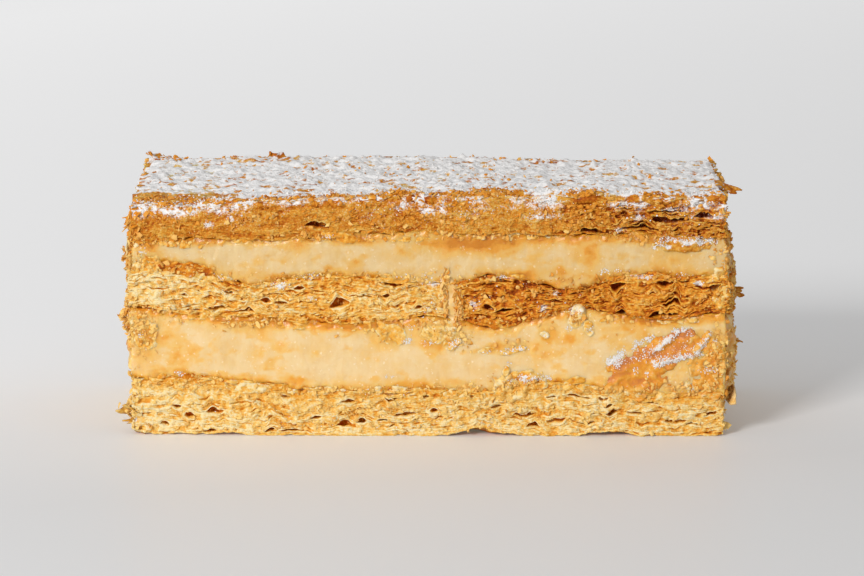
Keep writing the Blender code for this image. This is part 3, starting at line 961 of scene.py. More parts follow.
def pastry_finish(name, shades, see_through=0.9, roughness=0.65, relief=0.00014, crumb_size=0.00055, depth=1.0):
    """Baked leaves: the deeper baked, the browner, with painted warm shade in recesses and creases, and icing sugar
    where it lies.
    """
    finish = Finish(name)
    bake, recess, sugar = finish.mark("bake"), finish.mark("recess"), finish.mark("sugar")
    patches = finish.noise((0.004, 0.004, 0.0016), 3.0)
    strata = finish.noise((0.0016, 0.0016, 0.0005), 3.0)
    grain = finish.noise(0.0004, 3.0, 0.6)
    crumb = finish.cells(crumb_size, 0.0004)
    # Painted shade: the recesses of the cut and the creases between the crumb cells darken and warm the colour, on top
    # of the browning from baking and its random patches.
    darkening = bake + 0.5 * (patches - 0.5) + 0.4 * (strata - 0.5) + 0.35 * (grain - 0.5) + 0.55 * recess
    darkening = darkening + 0.35 * (crumb - 0.45)
    colour = finish.node("ShaderNodeValToRGB", {"stops": shades}, {0: darkening})
    cover = finish.span(sugar + 0.9 * (grain - 0.5) - 0.4 * (crumb - 0.4), 0.2, 0.7)
    bumps = finish.bump(0.5 * grain - 0.7 * crumb, relief, 1.0)
    finish.set(
        Base_Color=colour,
        Roughness=roughness,
        Normal=bumps,
        Specular_IOR_Level=0.15,
        Subsurface_Weight=see_through,
        Subsurface_Radius=(0.0009, 0.00086, 0.00075),
        Subsurface_Scale=depth,
    )
    finish.powdered(cover, Base_Color=SUGAR_WHITE, Roughness=0.9, Normal=bumps)
    return finish.material


def sugar_finish():
    finish = Finish("icing_sugar")
    fine = finish.noise(0.0003, 3.0, 0.6)
    finish.set(
        Base_Color=finish.mix(fine, (0.72, 0.69, 0.66), (0.86, 0.85, 0.84)),
        Roughness=0.85,
        Normal=finish.bump(fine, 0.00015, 0.5),
    )
    return finish.material


def crumb_finish(name, light, dark):
    finish = Finish(name)
    tone = finish.mark("tone")
    fine = finish.noise(0.0005, 3.0, 0.6)
    finish.set(
        Base_Color=finish.mix(finish.span(tone + 0.5 * (fine - 0.5), 0.1, 0.9), light, dark),
        Roughness=0.6,
        Normal=finish.bump(fine, 0.0002, 0.5),
        Specular_IOR_Level=0.15,
    )
    return finish.material


def custard_finish(name, shade, see_through=0.9):
    """Cream: soft and slightly see-through, golden where it has soaked the pastry, with painted warm shade along its
    seams with the pastry and pale specks painted as glints.
    """
    finish = Finish(name)
    # shade darkens the colours, more in green and blue, as painted shade.
    shaded = lambda *colour: tuple(part * shade ** power for part, power in zip(colour, (1.0, 1.15, 1.6)))
    stain = finish.mark("stain")
    cloud = finish.noise((0.005, 0.005, 0.004), 3.0)
    streaks = finish.noise((0.0009, 0.0009, 0.006), 3.0)
    fine = finish.noise(0.0007, 4.0, 0.65)
    # Painted glints: small pale specks in the cream's colour stand in for sparkles of light.
    specks = finish.span(finish.cells(0.0012, 0.0006), 0.26, 0.12) * finish.span(fine, 0.44, 0.56)
    clouded = finish.span(cloud + 0.3 * (streaks - 0.5), 0.35, 0.7)
    tone = finish.mix(clouded, shaded(0.80, 0.61, 0.33), shaded(0.78, 0.545, 0.235))
    # Painted shade: the stain mark also darkens and warms the cream along its seams with the pastry and under the
    # pastry above.
    soak_and_shade = stain + 0.35 * (cloud - 0.5) + 0.7 * (fine - 0.5)
    tone = finish.mix(finish.span(soak_and_shade, 0.0, 0.55), tone, shaded(0.81, 0.505, 0.14))
    tone = finish.mix(finish.span(soak_and_shade, 0.45, 1.05), tone, shaded(0.79, 0.37, 0.04))
    tone = finish.mix(finish.span(soak_and_shade, 1.05, 1.6), tone, shaded(0.66, 0.25, 0.012))
    # The painted glints are mixed into the colour here.
    tone = finish.mix(0.5 * specks, tone, shaded(0.93, 0.82, 0.62))
    finish.set(
        Base_Color=tone,
        Roughness=0.3,
        Normal=finish.bump(0.25 * streaks + 0.6 * fine + 0.3 * specks, 0.00016, 0.7),
        Subsurface_Weight=see_through,
        Subsurface_Radius=(0.0016, 0.0015, 0.0013),
        Subsurface_Scale=1.0,
        Specular_IOR_Level=0.45,
    )
    return finish.material


def linear(red, green, blue):
    """A colour given as 0 to 255 screen values."""
    return tuple((c / 255 / 12.92) if c <= 10 else ((c / 255 + 0.055) / 1.055) ** 2.4 for c in (red, green, blue))


# ---------------------------------------------------------------- studio


def add_camera():
    low, high = CAD_LOW, CAD_HIGH
    centre = (low + high) / 2
    data = bpy.data.cameras.new("camera")
    data.lens = 180.4
    data.sensor_width = 36.0
    camera = bpy.data.objects.new("camera", data)
    bpy.context.scene.collection.objects.link(camera)
    azimuth, elevation, distance = math.radians(0.75), math.radians(10.5), 0.906
    back = Vector(
        (math.sin(azimuth) * math.cos(elevation), -math.cos(azimuth) * math.cos(elevation), math.sin(elevation))
    )
    target = Vector((centre.x + 0.5 * MM, centre.y, 26.1 * MM))
    camera.location = target + back * distance
    camera.rotation_mode = "QUATERNION"
    camera.rotation_quaternion = (-back).to_track_quat("-Z", "Y")
    data.clip_start, data.clip_end = 0.01, 20.0
    bpy.context.scene.camera = camera


def add_studio():
    scene = bpy.context.scene
    scene.view_settings.view_transform = "Standard"
    bpy.ops.mesh.primitive_plane_add(size=8.0)
    floor = fresh("studio_floor")
    finish = Finish("studio_white")
    coords = finish.node("ShaderNodeTexCoord", {}, {}, "Object")
    across = finish.node("ShaderNodeSeparateXYZ", {}, {0: coords}, "X")
    behind = finish.node("ShaderNodeSeparateXYZ", {}, {0: coords}, "Y")
    # Behind the slice the floor glows as painted light, a little less to the right.
    painted_glow = 0.11 * finish.span(behind, -0.1, 0.06) + 0.27 * behind - 0.3 * across
    painted_glow = finish.node("ShaderNodeClamp", {}, {"Value": painted_glow, "Max": 0.34})
    finish.set(
        # Painted shade: the floor's colour is darker towards the front and the right.
        Base_Color=finish.mix(finish.span(across - behind, -0.2, 0.45), (0.86, 0.86, 0.865), (0.77, 0.765, 0.76)),
        Roughness=0.5,
        Specular_IOR_Level=0.3,
        Emission_Color=finish.mix(painted_glow, (0.0, 0.0, 0.0), (1.0, 1.0, 1.0)),
        Emission_Strength=1.0,
    )
    floor.data.materials.append(finish.material)

    world = bpy.data.worlds.new("studio")
    world.use_nodes = True
    world.node_tree.nodes["Background"].inputs["Color"].default_value = (1.0, 1.0, 1.0, 1.0)
    world.node_tree.nodes["Background"].inputs["Strength"].default_value = 0.455
    scene.world = world

    azimuth, elevation, distance = math.radians(-29.0), math.radians(24.0), 1.5
    back = Vector(
        (math.sin(azimuth) * math.cos(elevation), -math.cos(azimuth) * math.cos(elevation), math.sin(elevation))
    )
    light = bpy.data.lights.new("key", "AREA")
    light.shape, light.size, light.size_y, light.energy = "RECTANGLE", 0.4, 0.34, 16.5
    key = bpy.data.objects.new("key", light)
    key.location = back * distance
    key.rotation_mode = "QUATERNION"
    key.rotation_quaternion = (-back).to_track_quat("-Z", "Y")
    scene.collection.objects.link(key)


# ---------------------------------------------------------------- the slice


made = []


def ready(piece, material, slot, *replaced):
    """Gives a finished piece its material and its place in the frame; the slot is not used."""
    made.append(piece)
    piece.data.materials.clear()
    piece.data.materials.append(material)
    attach(piece, "root")
    if replaced:
        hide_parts(*replaced)
    triangles = sum(len(face.vertices) - 2 for face in piece.data.polygons)
    print("PIECE", piece.name, triangles)
    return piece


add_camera()
add_studio()

PASTRY_SHADES = [
    (0.0, (0.80, 0.655, 0.36, 1.0)),
    (0.2, (0.79, 0.52, 0.155, 1.0)),
    (0.42, (0.745, 0.36, 0.045, 1.0)),
    (0.65, (0.62, 0.21, 0.011, 1.0)),
    (0.85, (0.44, 0.10, 0.003, 1.0)),
    (1.0, (0.25, 0.045, 0.002, 1.0)),
]
SOAKED_SHADES = [
    (0.0, (0.78, 0.55, 0.25, 1.0)),
    (0.25, (0.77, 0.42, 0.09, 1.0)),
    (0.5, (0.71, 0.29, 0.028, 1.0)),
    (0.75, (0.64, 0.23, 0.042, 1.0)),
    (1.0, (0.50, 0.17, 0.05, 1.0)),
]
TOP_SHADES = [(place, tuple(0.87 * part for part in shade[:3]) + (1.0,)) for place, shade in PASTRY_SHADES]
pastry_baked = pastry_finish("pastry_baked", PASTRY_SHADES, 0.55, depth=0.6)
crust_baked = pastry_finish("crust_baked", PASTRY_SHADES, 0.0)
pastry_browned = pastry_finish("pastry_browned", TOP_SHADES, 0.6, 0.65, 0.0002, 0.00045, 0.6)
top_dusted = pastry_finish("top_dusted", TOP_SHADES, 0.0, 0.6)
leaf_thin = pastry_finish("leaf_thin", TOP_SHADES, 0.0, 0.5)
icing_sugar = sugar_finish()
crumb_baked = crumb_finish("crumb_baked", (0.83, 0.56, 0.18), (0.66, 0.25, 0.02))
lower_cream = custard_finish("lower_cream", 0.99)
# Painted shade: the upper cream is the same cream as the lower, its colours darkened and warmed.
upper_cream_shaded = custard_finish("upper_cream_shaded", 0.9)
smeared_cream = custard_finish("smeared_cream", 0.96, 0.0)

# Pockets between the leaves on the front cut: centre across, height, width and opening, in mm.
MIDDLE_POCKETS = [
    (-43.0, 26.6, 3.8, 0.9),
    (-37.0, 25.8, 3.4, 0.8),
    (-49.6, 28.8, 1.4, 0.6),
    (-40.6, 29.6, 2.4, 0.7),
    (-33.1, 27.6, 2.2, 1.0),
    (-30.0, 27.6, 2.8, 1.0),
    (-18.0, 27.4, 4.1, 1.9),
    (-12.6, 28.7, 3.5, 0.6),
    (-8.7, 29.3, 1.8, 1.0),
    (-26.2, 30.6, 2.2, 0.8),
    (-7.6, 32.1, 5.3, 0.8),
    (-1.9, 26.7, 1.6, 0.8),
    (12.3, 26.4, 2.4, 1.4),
    (15.5, 25.8, 3.9, 1.0),
    (15.3, 31.7, 3.7, 0.8),
    (38.7, 31.5, 3.2, 1.6),
    (48.1, 31.2, 3.9, 1.4),
    (49.6, 26.5, 3.7, 1.2),
    (39.2, 24.3, 2.6, 1.0),
    (48.5, 24.3, 7.1, 1.4),
    (58.3, 31.3, 2.4, 1.2),
]
BOTTOM_POCKETS = [
    (-51.4, 6.1, 1.8, 1.0), (-48.7, 4.2, 2.2, 0.9), (-43.6, 5.2, 3.6, 1.4), (-53.8, 2.3, 1.8, 0.7),
    (-44.9, 1.0, 3.5, 0.5), (-32.2, 1.2, 2.5, 0.7), (-27.7, 0.9, 5.0, 0.5), (-23.0, 3.4, 2.6, 0.5),
    (-16.7, 1.9, 4.1, 1.5), (-13.7, 2.7, 2.2, 1.0), (-9.3, 3.0, 2.2, 0.6), (-4.6, 4.6, 4.5, 0.8),
    (-0.7, 8.3, 2.0, 0.6), (-40.3, 10.7, 2.6, 0.6), (-26.6, 9.6, 3.0, 0.6), (-7.3, 9.6, 3.4, 0.8),
    (-7.4, 8.0, 3.0, 0.5), (-29.1, 7.9, 2.0, 0.5), (-16.4, 6.5, 3.0, 0.4), (8.6, 8.4, 1.8, 0.6),
    (25.2, 8.1, 2.0, 0.6), (30.8, 8.1, 5.0, 0.5), (35.8, 7.9, 2.0, 0.5), (37.6, 5.0, 2.6, 1.0),
    (36.9, 6.5, 1.8, 0.8), (19.6, 3.9, 4.5, 0.6), (26.2, 3.4, 4.0, 0.6), (21.6, 2.1, 2.8, 0.9),
    (32.3, 3.2, 4.0, 0.5), (42.4, 4.3, 3.6, 0.5), (50.6, 2.7, 4.5, 0.8), (54.2, 2.3, 4.0, 0.5),
    (57.7, 4.3, 3.0, 0.6), (1.3, 4.8, 1.6, 0.8), (46.0, 6.4, 2.6, 0.4), (14.0, 5.6, 2.4, 0.5),
]
TOP_POCKETS = [
    (-22.5, 42.9, 5.0, 2.0),
    (33.3, 42.4, 5.0, 1.2),
    (43.0, 42.8, 9.0, 0.9),
    (47.5, 44.6, 4.5, 1.2),
    (51.0, 44.8, 4.5, 0.9),
    (47.5, 46.4, 7.0, 0.6),
    (56.0, 45.2, 4.0, 1.0),
]




def bottom_flaky(plan, front):
    return 0.55 + 0.0 * front


def middle_flaky(plan, front):
    return 0.6 + 0.15 * front * ease(plan[:, 0], 0, 12)


def top_flaky(plan, front):
    return front * (0.15 + 0.8 * ease(plan[:, 0], 20, 42)) + (1 - front) * 0.7


def bottom_bake(points, share, loose):
    left = ease(points[:, 0], -40, -58)
    return 0.18 - 0.12 * left + 0.26 * ease(share, 0.72, 1.0) + 0.26 * ease(share, 0.12, 0.0)


def middle_bake(points, share, loose):
    x, y, z = points.T
    front = ease(y, -15, -22)
    right = front * ease(x, 3, 8) * 0.36
    left = front * ease(x, -32, -48) * 0.12
    crust = 0.3 * ease(share, 0.85, 1.0) + 0.28 * ease(share, 0.2, 0.0)
    cap = 0.42 * front * ease(abs(x + 47), 13, 8) * ease(share, 0.78, 0.88)
    return 0.22 + right - left + np.maximum(crust, cap)


def top_bake(points, share, loose):
    return 0.5 + 0.06 * ease(points[:, 0], 20, 45) + 0.14 * ease(share, 0.12, 0.02)


PASTRY_SLOTS = {"pastry_bottom": "pale_pastry", "pastry_middle": "golden_pastry", "pastry_top": "browned_pastry"}
for node, leaves, seed, flaky, crumb, firm, pockets, bake in (
    ("pastry_bottom", 21, 1, bottom_flaky, 0.26, 0.7, BOTTOM_POCKETS, bottom_bake),
    ("pastry_middle", 20, 2, middle_flaky, 0.26, 0.0, MIDDLE_POCKETS, middle_bake),
    ("pastry_top", 19, 3, top_flaky, 0.32, 0.0, TOP_POCKETS, top_bake),
):
    finish = pastry_browned if node == "pastry_top" else pastry_baked
    leaves = pastry_layer(node + "_leaves", node, leaves, seed, flaky, crumb, firm, pockets, bake)
    ready(leaves, finish, PASTRY_SLOTS[node], node)
# Golden stains on the custard's front cut, and painted shade in the bands just under the pastry above: centre across,
# height, width, height of the patch, and strength.
UPPER_STAINS_AND_SHADE = [
    (8.0, 38.8, 26.0, 4.5, 0.75), (-26.0, 39.4, 6.0, 4.0, 0.6), (32.5, 37.2, 7.0, 5.0, 0.9), (50.0, 37.5, 18.0, 7.0, 0.4),
    (-57.0, 37.0, 8.0, 8.0, 0.6), (-14.0, 40.6, 10.0, 2.6, 1.1), (-47.0, 40.6, 16.0, 2.6, 0.8), (-5.0, 34.0, 8.0, 3.0, 0.4),
    (12.0, 40.3, 36.0, 3.2, 1.2), (46.0, 40.6, 22.0, 2.4, 0.7), (-36.0, 34.0, 14.0, 3.0, 0.35), (24.0, 34.0, 30.0, 2.6, 0.35),
]
LOWER_STAINS_AND_SHADE = [
    (-57.0, 20.0, 10.0, 17.0, 0.7), (-37.5, 22.5, 14.0, 4.0, 0.6), (-9.0, 20.5, 9.0, 7.0, 0.7), (2.0, 21.0, 14.0, 7.0, 0.8),
    (18.0, 18.2, 16.0, 4.0, 0.6), (48.0, 15.0, 28.0, 18.0, 0.4), (-36.0, 24.2, 24.0, 2.6, 1.4), (-14.0, 23.6, 22.0, 3.4, 1.9),
    (12.0, 24.0, 14.0, 3.0, 1.1), (46.0, 24.4, 26.0, 2.6, 1.0), (-53.0, 25.6, 12.0, 2.4, 0.9), (-35.0, 17.0, 4.0, 9.0, 0.3),
    (-51.0, 17.0, 5.0, 7.0, 0.35), (0.0, 11.0, 60.0, 2.4, 0.3), (59.0, 17.0, 5.0, 16.0, 0.8), (28.0, 20.8, 12.0, 6.0, 0.6),
]
for node, seed, stains_and_shade, cream in (
    ("custard_lower", 21, LOWER_STAINS_AND_SHADE, lower_cream),
    ("custard_upper", 22, UPPER_STAINS_AND_SHADE, upper_cream_shaded),
):
    ready(custard_layer(node + "_cream", node, seed, 0.6, 0.5, stains_and_shade), cream, "custard", node)


ready(dusted_top("dusted_top"), top_dusted, "icing_sugar")
surface = Surface(made)

LOWER_FOLDS = [
    (((36.9, 15.2), (40.2, 17.1)), 0.5, 0.7),
    (((42.0, 18.9), (46.0, 20.7)), 0.5, 0.7),
    (((45.8, 17.8), (52.2, 22.8)), 0.7, 0.6),
    (((46.1, 15.0), (55.8, 17.3)), 0.7, 0.6),
    (((55.2, 18.4), (57.4, 21.2)), 0.5, 0.5),
]
soak_and_shade = pastry_finish("leaf_soaked", SOAKED_SHADES, 0.2, 0.22, 0.00016, 0.0009, 0.4)
lobes = [
    torn_leaf("lobe_low", surface, 71, (42.0, 13.1), (17.0, 12.0), 10.0, 0.45, 0.58, LOWER_FOLDS[:1], creased=0.8),
    torn_leaf("lobe_high", surface, 171, (50.6, 18.4), (19.0, 9.5), 22.0, 0.5, 0.78, LOWER_FOLDS[1:4], creased=0.4),
    torn_leaf("lobe_right", surface, 271, (57.2, 14.4), (10.0, 17.0), 6.0, 0.3, 0.46, LOWER_FOLDS[4:], 0.3),
]
ready(joined("soaked_leaf_lower", lobes), soak_and_shade, "soaked_leaf", "shard_lower")
ready(
    torn_leaf("soaked_leaf_upper", surface, 72, (52.5, 39.6), (15.5, 4.6), -5.0, 0.9, 0.45,
              [(((46.5, 40.6), (49.0, 39.6)), 0.5, 0.5), (((50.5, 40.6), (58.6, 40.2)), 0.6, 0.5)]),
    leaf_thin,
    "browned_pastry",
    "shard_upper",
)
SMALL_LEAVES = [
    ("torn_leaf_front", 73, (19.5, 10.8), (13.0, 7.0), 8.0, 0.5, 0.34, [(((15.0, 12.0), (21.0, 12.6)), 0.4, 0.5)], 0.4),
    ("torn_leaf_hanging", 74, (30.0, 24.4), (4.2, 6.4), -12.0, 0.9, 0.22, [(((28.4, 26.4), (31.6, 26.2)), 0.5, 0.5)], 0.35),
    ("torn_leaf_drop", 75, (32.8, 22.4), (3.0, 4.2), 10.0, 0.4, 0.25, [], 0.35),
    ("torn_leaf_left", 76, (-57.8, 21.6), (6.0, 9.0), 8.0, 0.25, 0.24, [], 0.26),
    ("torn_leaf_corner", 77, (-56.6, 35.0), (6.6, 5.6), 30.0, 0.3, 0.32, [], 0.28),
    ("torn_leaf_ledge", 78, (-50.5, 34.6), (14.5, 3.6), -7.0, 0.5, 0.85, [], 0.25),
    ("torn_leaf_curl", 79, (16.0, 13.6), (1.8, 3.4), -15.0, 0.7, 0.3, [], 0.1),
    ("torn_leaf_hole", 80, (-17.5, 41.0), (9.5, 2.6), -14.0, 0.5, 0.42, [], 0.3),
    ("torn_leaf_middle", 81, (2.6, 21.8), (10.0, 5.6), 10.0, 0.15, 0.26, [], 0.14),
    ("torn_leaf_smear", 82, (-7.5, 21.0), (8.0, 4.6), -10.0, 0.15, 0.26, [], 0.14),
    ("lump_middle", 83, (4.9, 19.2), (4.4, 3.4), 30.0, 0.4, 0.24, [], 0.4),
    ("lump_centre", 84, (11.6, 17.6), (5.0, 2.0), 10.0, 0.15, 0.3, [], 0.22),
    ("lump_ridge", 85, (17.6, 17.8), (7.0, 1.8), 14.0, 0.15, 0.3, [], 0.22),
    ("lump_high", 86, (23.8, 21.0), (2.6, 2.0), 0.0, 0.15, 0.28, [], 0.25),
    ("torn_leaf_slit", 87, (30.2, 11.6), (5.6, 2.0), 6.0, 0.5, 0.4, [], 0.3),
]
ready(torn_leaf("custard_smear", surface, 88, (4.6, 28.0), (5.6, 15.0), 8.0, 0.5, 0.0, [], 0.0, 0.0), smeared_cream, "custard")
for name, seed, centre, size, tilt, stand, bake, folds, crumbly in SMALL_LEAVES:
    ready(torn_leaf(name, surface, seed, centre, size, tilt, stand, bake, folds, crumbly), crust_baked, "golden_pastry")

# Crumbly crust along the seams of pastry and custard: centre, length, height, tilt and browning.
CRUSTS = [
    (59.6, 30.0, 4.4, 20.0, 0.0, 0.4), (60.0, 13.0, 3.6, 14.0, -4.0, 0.3), (-59.4, 36.5, 4.0, 9.0, 0.0, 0.3),
    (-50.5, 12.0, 15.0, 3.0, -5.0, 0.6), (-36.0, 9.8, 16.0, 3.4, -7.0, 0.26), (-22.0, 9.2, 16.0, 3.2, 2.0, 0.24),
    (-8.0, 9.2, 16.0, 3.0, 0.0, 0.26), (7.0, 9.0, 14.0, 3.2, 3.0, 0.3), (31.0, 9.8, 13.0, 3.2, -6.0, 0.28),
    (45.0, 8.6, 16.0, 3.0, -3.0, 0.2), (56.5, 10.4, 9.0, 6.0, 14.0, 0.26),
    (-48.0, 25.0, 18.0, 2.6, -4.0, 0.36), (-30.0, 23.0, 20.0, 2.8, -2.0, 0.38), (-12.0, 22.6, 16.0, 3.0, 2.0, 0.36),
    (14.0, 23.4, 10.0, 2.4, -8.0, 0.6), (38.0, 24.4, 14.0, 2.2, 4.0, 0.46), (52.0, 24.0, 14.0, 2.2, 3.0, 0.42),
    (-44.0, 32.8, 12.0, 2.6, -9.0, 0.42), (-26.0, 32.4, 16.0, 2.4, 6.0, 0.38), (-7.0, 32.8, 14.0, 2.4, -3.0, 0.42),
    (16.0, 32.6, 12.0, 2.2, 4.0, 0.45), (42.0, 32.8, 18.0, 2.4, 2.0, 0.42), (56.0, 32.6, 8.0, 2.6, 6.0, 0.42),
    (-50.0, 39.8, 18.0, 2.8, -3.0, 0.42), (-33.0, 40.4, 16.0, 2.4, 4.0, 0.42), (-4.0, 40.8, 20.0, 2.2, 1.0, 0.36),
    (17.0, 41.2, 20.0, 2.0, 0.0, 0.36), (43.0, 41.0, 10.0, 2.4, -8.0, 0.42),
]
strips = []
for index, (x, z, length, tall, tilt, bake) in enumerate(CRUSTS):
    crust = torn_leaf(f"crust{index}", surface, 200 + 9 * index, (x, z), (length, 0.8 * tall), tilt, 0.0, bake, [], 0.34)
    strips.append(crust)
ready(joined("crumbly_crust", strips), crust_baked, "golden_pastry")

LOOSE_FLAKES = [
    ("flake_top_corner", 91, (59.5, -13.0, 50.6), 0, 4.2, 6.5, 0.4, 0.5, 0.1),
    ("flake_bottom_left", 92, (-59.6, -23.0, 4.4), 188, 4.4, 4.5, -0.25, 0.2, 0.5),
    ("flake_bottom_left_low", 93, (-58.8, -22.0, 2.4), 185, 3.8, 6.0, -0.1, 0.25, -0.3),
    ("flake_right_upper", 94, (60.5, -12.0, 28.0), 0, 4.0, 5.0, 0.1, 0.45, 0.3),
    ("flake_right_lower", 95, (60.5, -9.0, 17.6), -4, 4.2, 4.5, 0.15, 0.45, -0.3),
    ("flake_back_left", 97, (-57.5, 22.0, 50.0), 160, 4.5, 7.0, -0.25, 0.55, 0.2),
    ("flake_back", 98, (-33.0, 24.0, 49.6), 95, 3.0, 7.0, -0.35, 0.5, 0.1),
]
for name, seed, root, way, length, width, droop, bake, twist in LOOSE_FLAKES:
    ready(loose_flake(name, seed, root, way, length, width, droop, bake, twist), leaf_thin, "browned_pastry")

CRUMB_CLUSTERS = [
    (-58.5, 22.0, 3.0, 4.0, 90), (-38.0, 23.0, 5.0, 0.8, 30), (-8.5, 21.5, 4.0, 1.6, 20), (2.0, 22.4, 5.5, 1.8, 30),
    (8.0, 19.5, 2.0, 2.2, 10), (18.0, 19.4, 4.0, 0.8, 10), (19.5, 11.0, 6.0, 2.0, 40), (30.0, 24.5, 1.4, 1.4, 20),
    (50.0, 10.4, 10.0, 1.8, 60), (59.0, 16.0, 1.6, 7.0, 90), (-50.0, 10.6, 9.0, 1.4, 60), (-20.0, 9.2, 18.0, 1.2, 70),
    (10.0, 10.0, 12.0, 1.2, 50), (40.0, 9.4, 14.0, 1.2, 60), (-50.0, 40.2, 8.0, 1.0, 50), (-25.0, 40.8, 16.0, 0.8, 50),
    (10.0, 41.6, 16.0, 0.8, 40), (40.0, 41.0, 10.0, 1.0, 40), (-52.0, 34.6, 8.0, 1.0, 50), (-20.0, 33.0, 18.0, 0.9, 60),
    (15.0, 32.6, 14.0, 0.9, 50), (45.0, 33.2, 12.0, 1.1, 50), (-30.0, 24.0, 22.0, 0.8, 50), (25.0, 24.2, 26.0, 1.0, 60),
    (0.0, 45.0, 60.0, 3.4, 520), (0.0, 28.5, 60.0, 3.6, 420), (0.0, 4.6, 60.0, 3.8, 460), (58.5, 38.0, 2.4, 3.0, 30),
    (-1.0, 27.0, 2.0, 6.0, 20),
]
TOP_CRUMB_CLUSTERS = [
    (-52.0, -21.0, 9.0, 4.0, 160), (-56.0, -17.0, 5.0, 4.0, 50), (-40.0, -24.0, 8.0, 1.2, 60), (-20.0, -23.0, 10.0, 1.8, 60),
    (-6.0, -21.5, 4.0, 3.0, 60), (5.0, -23.5, 6.0, 1.5, 40), (14.0, -20.0, 6.0, 4.0, 90), (33.0, -21.5, 5.0, 3.0, 70),
    (46.0, -22.5, 5.0, 2.5, 50), (-55.0, 22.0, 6.0, 3.0, 50), (-42.0, 23.5, 3.0, 1.5, 30), (0.0, 24.0, 60.0, 2.0, 60),
    (0.0, 0.0, 60.0, 24.0, 160),
]
# Clumps of crumbs on the left end by the front.
LEFT_CLUMPS = [(-23.0, 44.4, 2.0, 1.4, 60), (-23.0, 24.4, 2.4, 2.2, 80), (-23.0, 36.0, 2.0, 2.6, 40), (-22.0, 5.4, 2.4, 1.4, 40)]
# Larger crumbs on the front cut.
FRONT_CRUMB_CLUSTERS = [
    (58.2, 15.0, 2.4, 6.0, 60), (-58.8, 22.5, 3.0, 4.5, 50), (4.9, 20.4, 4.5, 1.6, 20), (-57.0, 35.6, 3.6, 2.4, 30),
    (-38.0, 22.8, 6.0, 0.9, 16), (19.5, 11.4, 6.0, 1.6, 30), (30.0, 25.4, 1.2, 1.2, 12), (52.0, 9.6, 8.0, 1.4, 24),
    (-12.0, 9.6, 30.0, 0.9, 40), (24.0, 9.8, 26.0, 0.9, 40), (-50.0, 11.8, 10.0, 0.8, 24), (0.0, 24.4, 60.0, 0.8, 30),
    (0.0, 32.4, 60.0, 0.8, 30), (0.0, 41.2, 60.0, 0.7, 40), (5.0, 48.2, 26.0, 0.9, 90), (40.0, 44.5, 22.0, 3.0, 90),
    (34.0, 29.0, 26.0, 3.4, 120), (-40.0, 28.5, 24.0, 3.0, 60),
]
# Larger crumbs along the top's front edge.
RIM_CRUMB_CLUSTERS = [
    (-50.0, -24.6, 12.0, 1.2, 60), (-28.0, -24.8, 10.0, 0.8, 40), (-8.0, -24.0, 5.0, 1.6, 60), (4.0, -24.6, 6.0, 1.0, 30),
    (12.0, -23.6, 6.0, 2.0, 80), (32.0, -24.2, 6.0, 1.4, 40), (46.0, -24.6, 6.0, 1.0, 30), (59.0, -22.0, 3.0, 4.0, 30),
]
TOP_SUGAR_CLUSTERS = [
    (-55.0, -22.0, 8.0, 4.0, 190), (-40.0, -22.0, 9.0, 4.0, 190), (-22.0, -21.0, 10.0, 4.0, 190), (-5.0, -22.0, 8.0, 5.0, 190),
    (12.0, -20.0, 9.0, 5.0, 190), (27.0, -22.0, 8.0, 4.0, 190), (43.0, -22.0, 8.0, 4.0, 190), (57.0, -22.0, 5.0, 4.0, 160),
    (0.0, 0.0, 62.0, 22.0, 700),
]
rng = np.random.default_rng(7)
surface = Surface(made)


def end_spots(pieces, count, rng, sizes):
    """Spots on both short ends of the pieces, for crumbs that cling there."""
    spots = []
    for piece in pieces:
        points = points_of(piece)
        low, high = points[:, 0].min(), points[:, 0].max()
        near = (np.minimum(points[:, 0] - low, high - points[:, 0]) < 3.2 * MM) & (abs(points[:, 1]) < 26 * MM)
        for index in rng.choice(np.flatnonzero(near), count):
            out = Vector((math.copysign(1.0, points[index, 0]), 0.0, 0.0))
            spots.append((points[index], out, (sizes[0] + (sizes[1] - sizes[0]) * rng.uniform() ** 2) * MM))
    return spots


def top_spots(surface, clusters, rng, sizes):
    """Spots on the top for clusters of x, y, half width, half depth and count, in mm."""
    spots = []
    for x, y, wide, deep, count in clusters:
        for _ in range(count):
            a, b = rng.normal(x, wide * 0.55), rng.normal(y, deep * 0.55)
            hit = surface.feel(Vector((a * MM, b * MM, 0.1)), Vector((0.0, 0.0, -1.0)))
            if hit and hit[0].z > 44 * MM:
                spots.append((hit[0], hit[1], (sizes[0] + (sizes[1] - sizes[0]) * rng.uniform() ** 2) * MM))
    return spots


def edge_spots(surface, pieces, count, rng, sizes):
    """Spots on the pastry's cuts all round, where thin flakes stick out, with the leaves' way up at each."""
    spots = []
    for piece in pieces:
        points, normals = points_of(piece), np.empty(len(piece.data.vertices) * 3)
        piece.data.vertices.foreach_get("normal", normals)
        normals = normals.reshape(-1, 3)
        low, high = points.min(axis=0), points.max(axis=0)
        side = (np.minimum(points - low, high - points)[:, :2].min(axis=1) < 1.6 * MM) & (points[:, 2] > 0.8 * MM)
        for index in rng.choice(np.flatnonzero(side), count):
            x, y, z = points[index]
            cover = surface.front(x, z) if y < -20 * MM else None
            if cover is not None and cover < y - 0.6 * MM:
                continue
            up = Vector((0.0, 0.0, 1.0)) + 0.5 * Vector(normals[index]) + Vector(rng.normal(0.0, 0.25, 3))
            spots.append((points[index], up.normalized(), (sizes[0] + (sizes[1] - sizes[0]) * rng.uniform() ** 2) * MM))
    return spots


def edge_clumps(surface, clumps, rng, sizes):
    """Spots on the left end near the front for clumps of y, z, half depth, half height and count, in mm."""
    spots = []
    for y, z, deep, tall, count in clumps:
        for _ in range(count):
            b, c = rng.normal(y, deep * 0.55), rng.normal(z, tall * 0.55)
            hit = surface.feel(Vector((-0.1, b * MM, c * MM)), Vector((1.0, 0.0, 0.0)))
            if hit:
                out = rng.uniform(0.0, 0.9) * MM
                place = hit[0] - Vector((out, 0.0, 0.0))
                spots.append((place, Vector((-1.0, -0.4, 0.1)), (sizes[0] + (sizes[1] - sizes[0]) * rng.uniform()) * MM))
    return spots


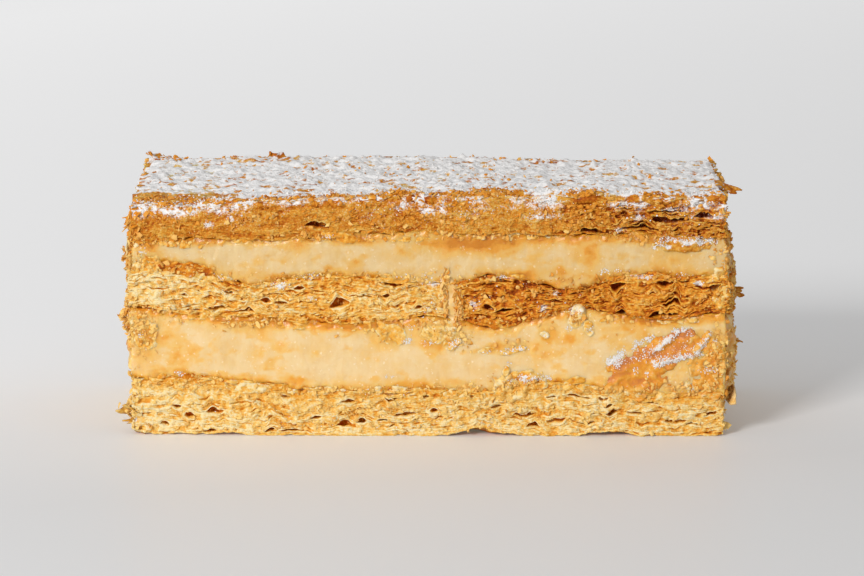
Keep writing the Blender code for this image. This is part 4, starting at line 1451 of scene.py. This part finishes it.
grains = [pebble(seed, 1, 0.8) for seed in range(4)]
crumbs = [pebble(seed + 10, 1, 0.45, 0.75) for seed in range(6)]
clusters = SUGAR_CLUSTERS + along_lines(SUGAR_LINES, rng)
spots = front_spots(surface, clusters, rng, (0.05, 0.17)) + top_spots(surface, TOP_SUGAR_CLUSTERS, rng, (0.06, 0.26))
ready(scattered("sugar_grains", spots, grains, 8), icing_sugar, "icing_sugar")


def on_smear(place):
    """Whether a place in mm is on the smear of custard, where no crumbs stick."""
    return 2.4 < place[0] < 6.8 and 24 < place[2] < 33


def crumb_browning(place):
    """Crumbs are as brown as the pastry they come from."""
    browner = 0.3 * ease(place[0], 0.0, 12 * MM) * ease(abs(place[2] - 29 * MM), 6 * MM, 3 * MM)
    return browner + float(np.interp(place[2] / MM, [0, 9, 14, 24, 32, 40, 48], [0.1, 0.3, 0.3, 0.4, 0.35, 0.6, 0.8]))


pastry = [piece for piece in made if piece.name.startswith("pastry_")]
spots = edge_spots(surface, pastry, 1000, rng, (0.2, 0.6))
clumps = front_spots(surface, FRONT_CRUMB_CLUSTERS, rng, (0.2, 0.55)) + edge_clumps(surface, LEFT_CLUMPS, rng, (0.3, 0.8))
for place, out, size in clumps:
    if not on_smear(place / MM):
        spots.append((place, (0.5 * Vector(out) + Vector((0.0, 0.0, 0.8))).normalized(), size))
chips = [chip(seed + 20) for seed in range(6)]
ready(scattered("pastry_flakes", spots, chips, 10, 0.5, crumb_browning), crumb_baked, "golden_pastry")
custards = [piece for piece in made if piece.name.startswith("custard_")]
spots = [spot for spot in front_spots(surface, CRUMB_CLUSTERS, rng, (0.12, 0.5)) if not on_smear(spot[0] / MM)]
spots += end_spots(custards, 700, rng, (0.2, 0.7)) + end_spots(pastry, 350, rng, (0.2, 0.8))
spots += top_spots(surface, TOP_CRUMB_CLUSTERS, rng, (0.12, 0.45)) + top_spots(surface, RIM_CRUMB_CLUSTERS, rng, (0.25, 0.6))
ready(scattered("pastry_crumbs", spots, crumbs, 9, darkening=crumb_browning), crumb_baked, "golden_pastry")
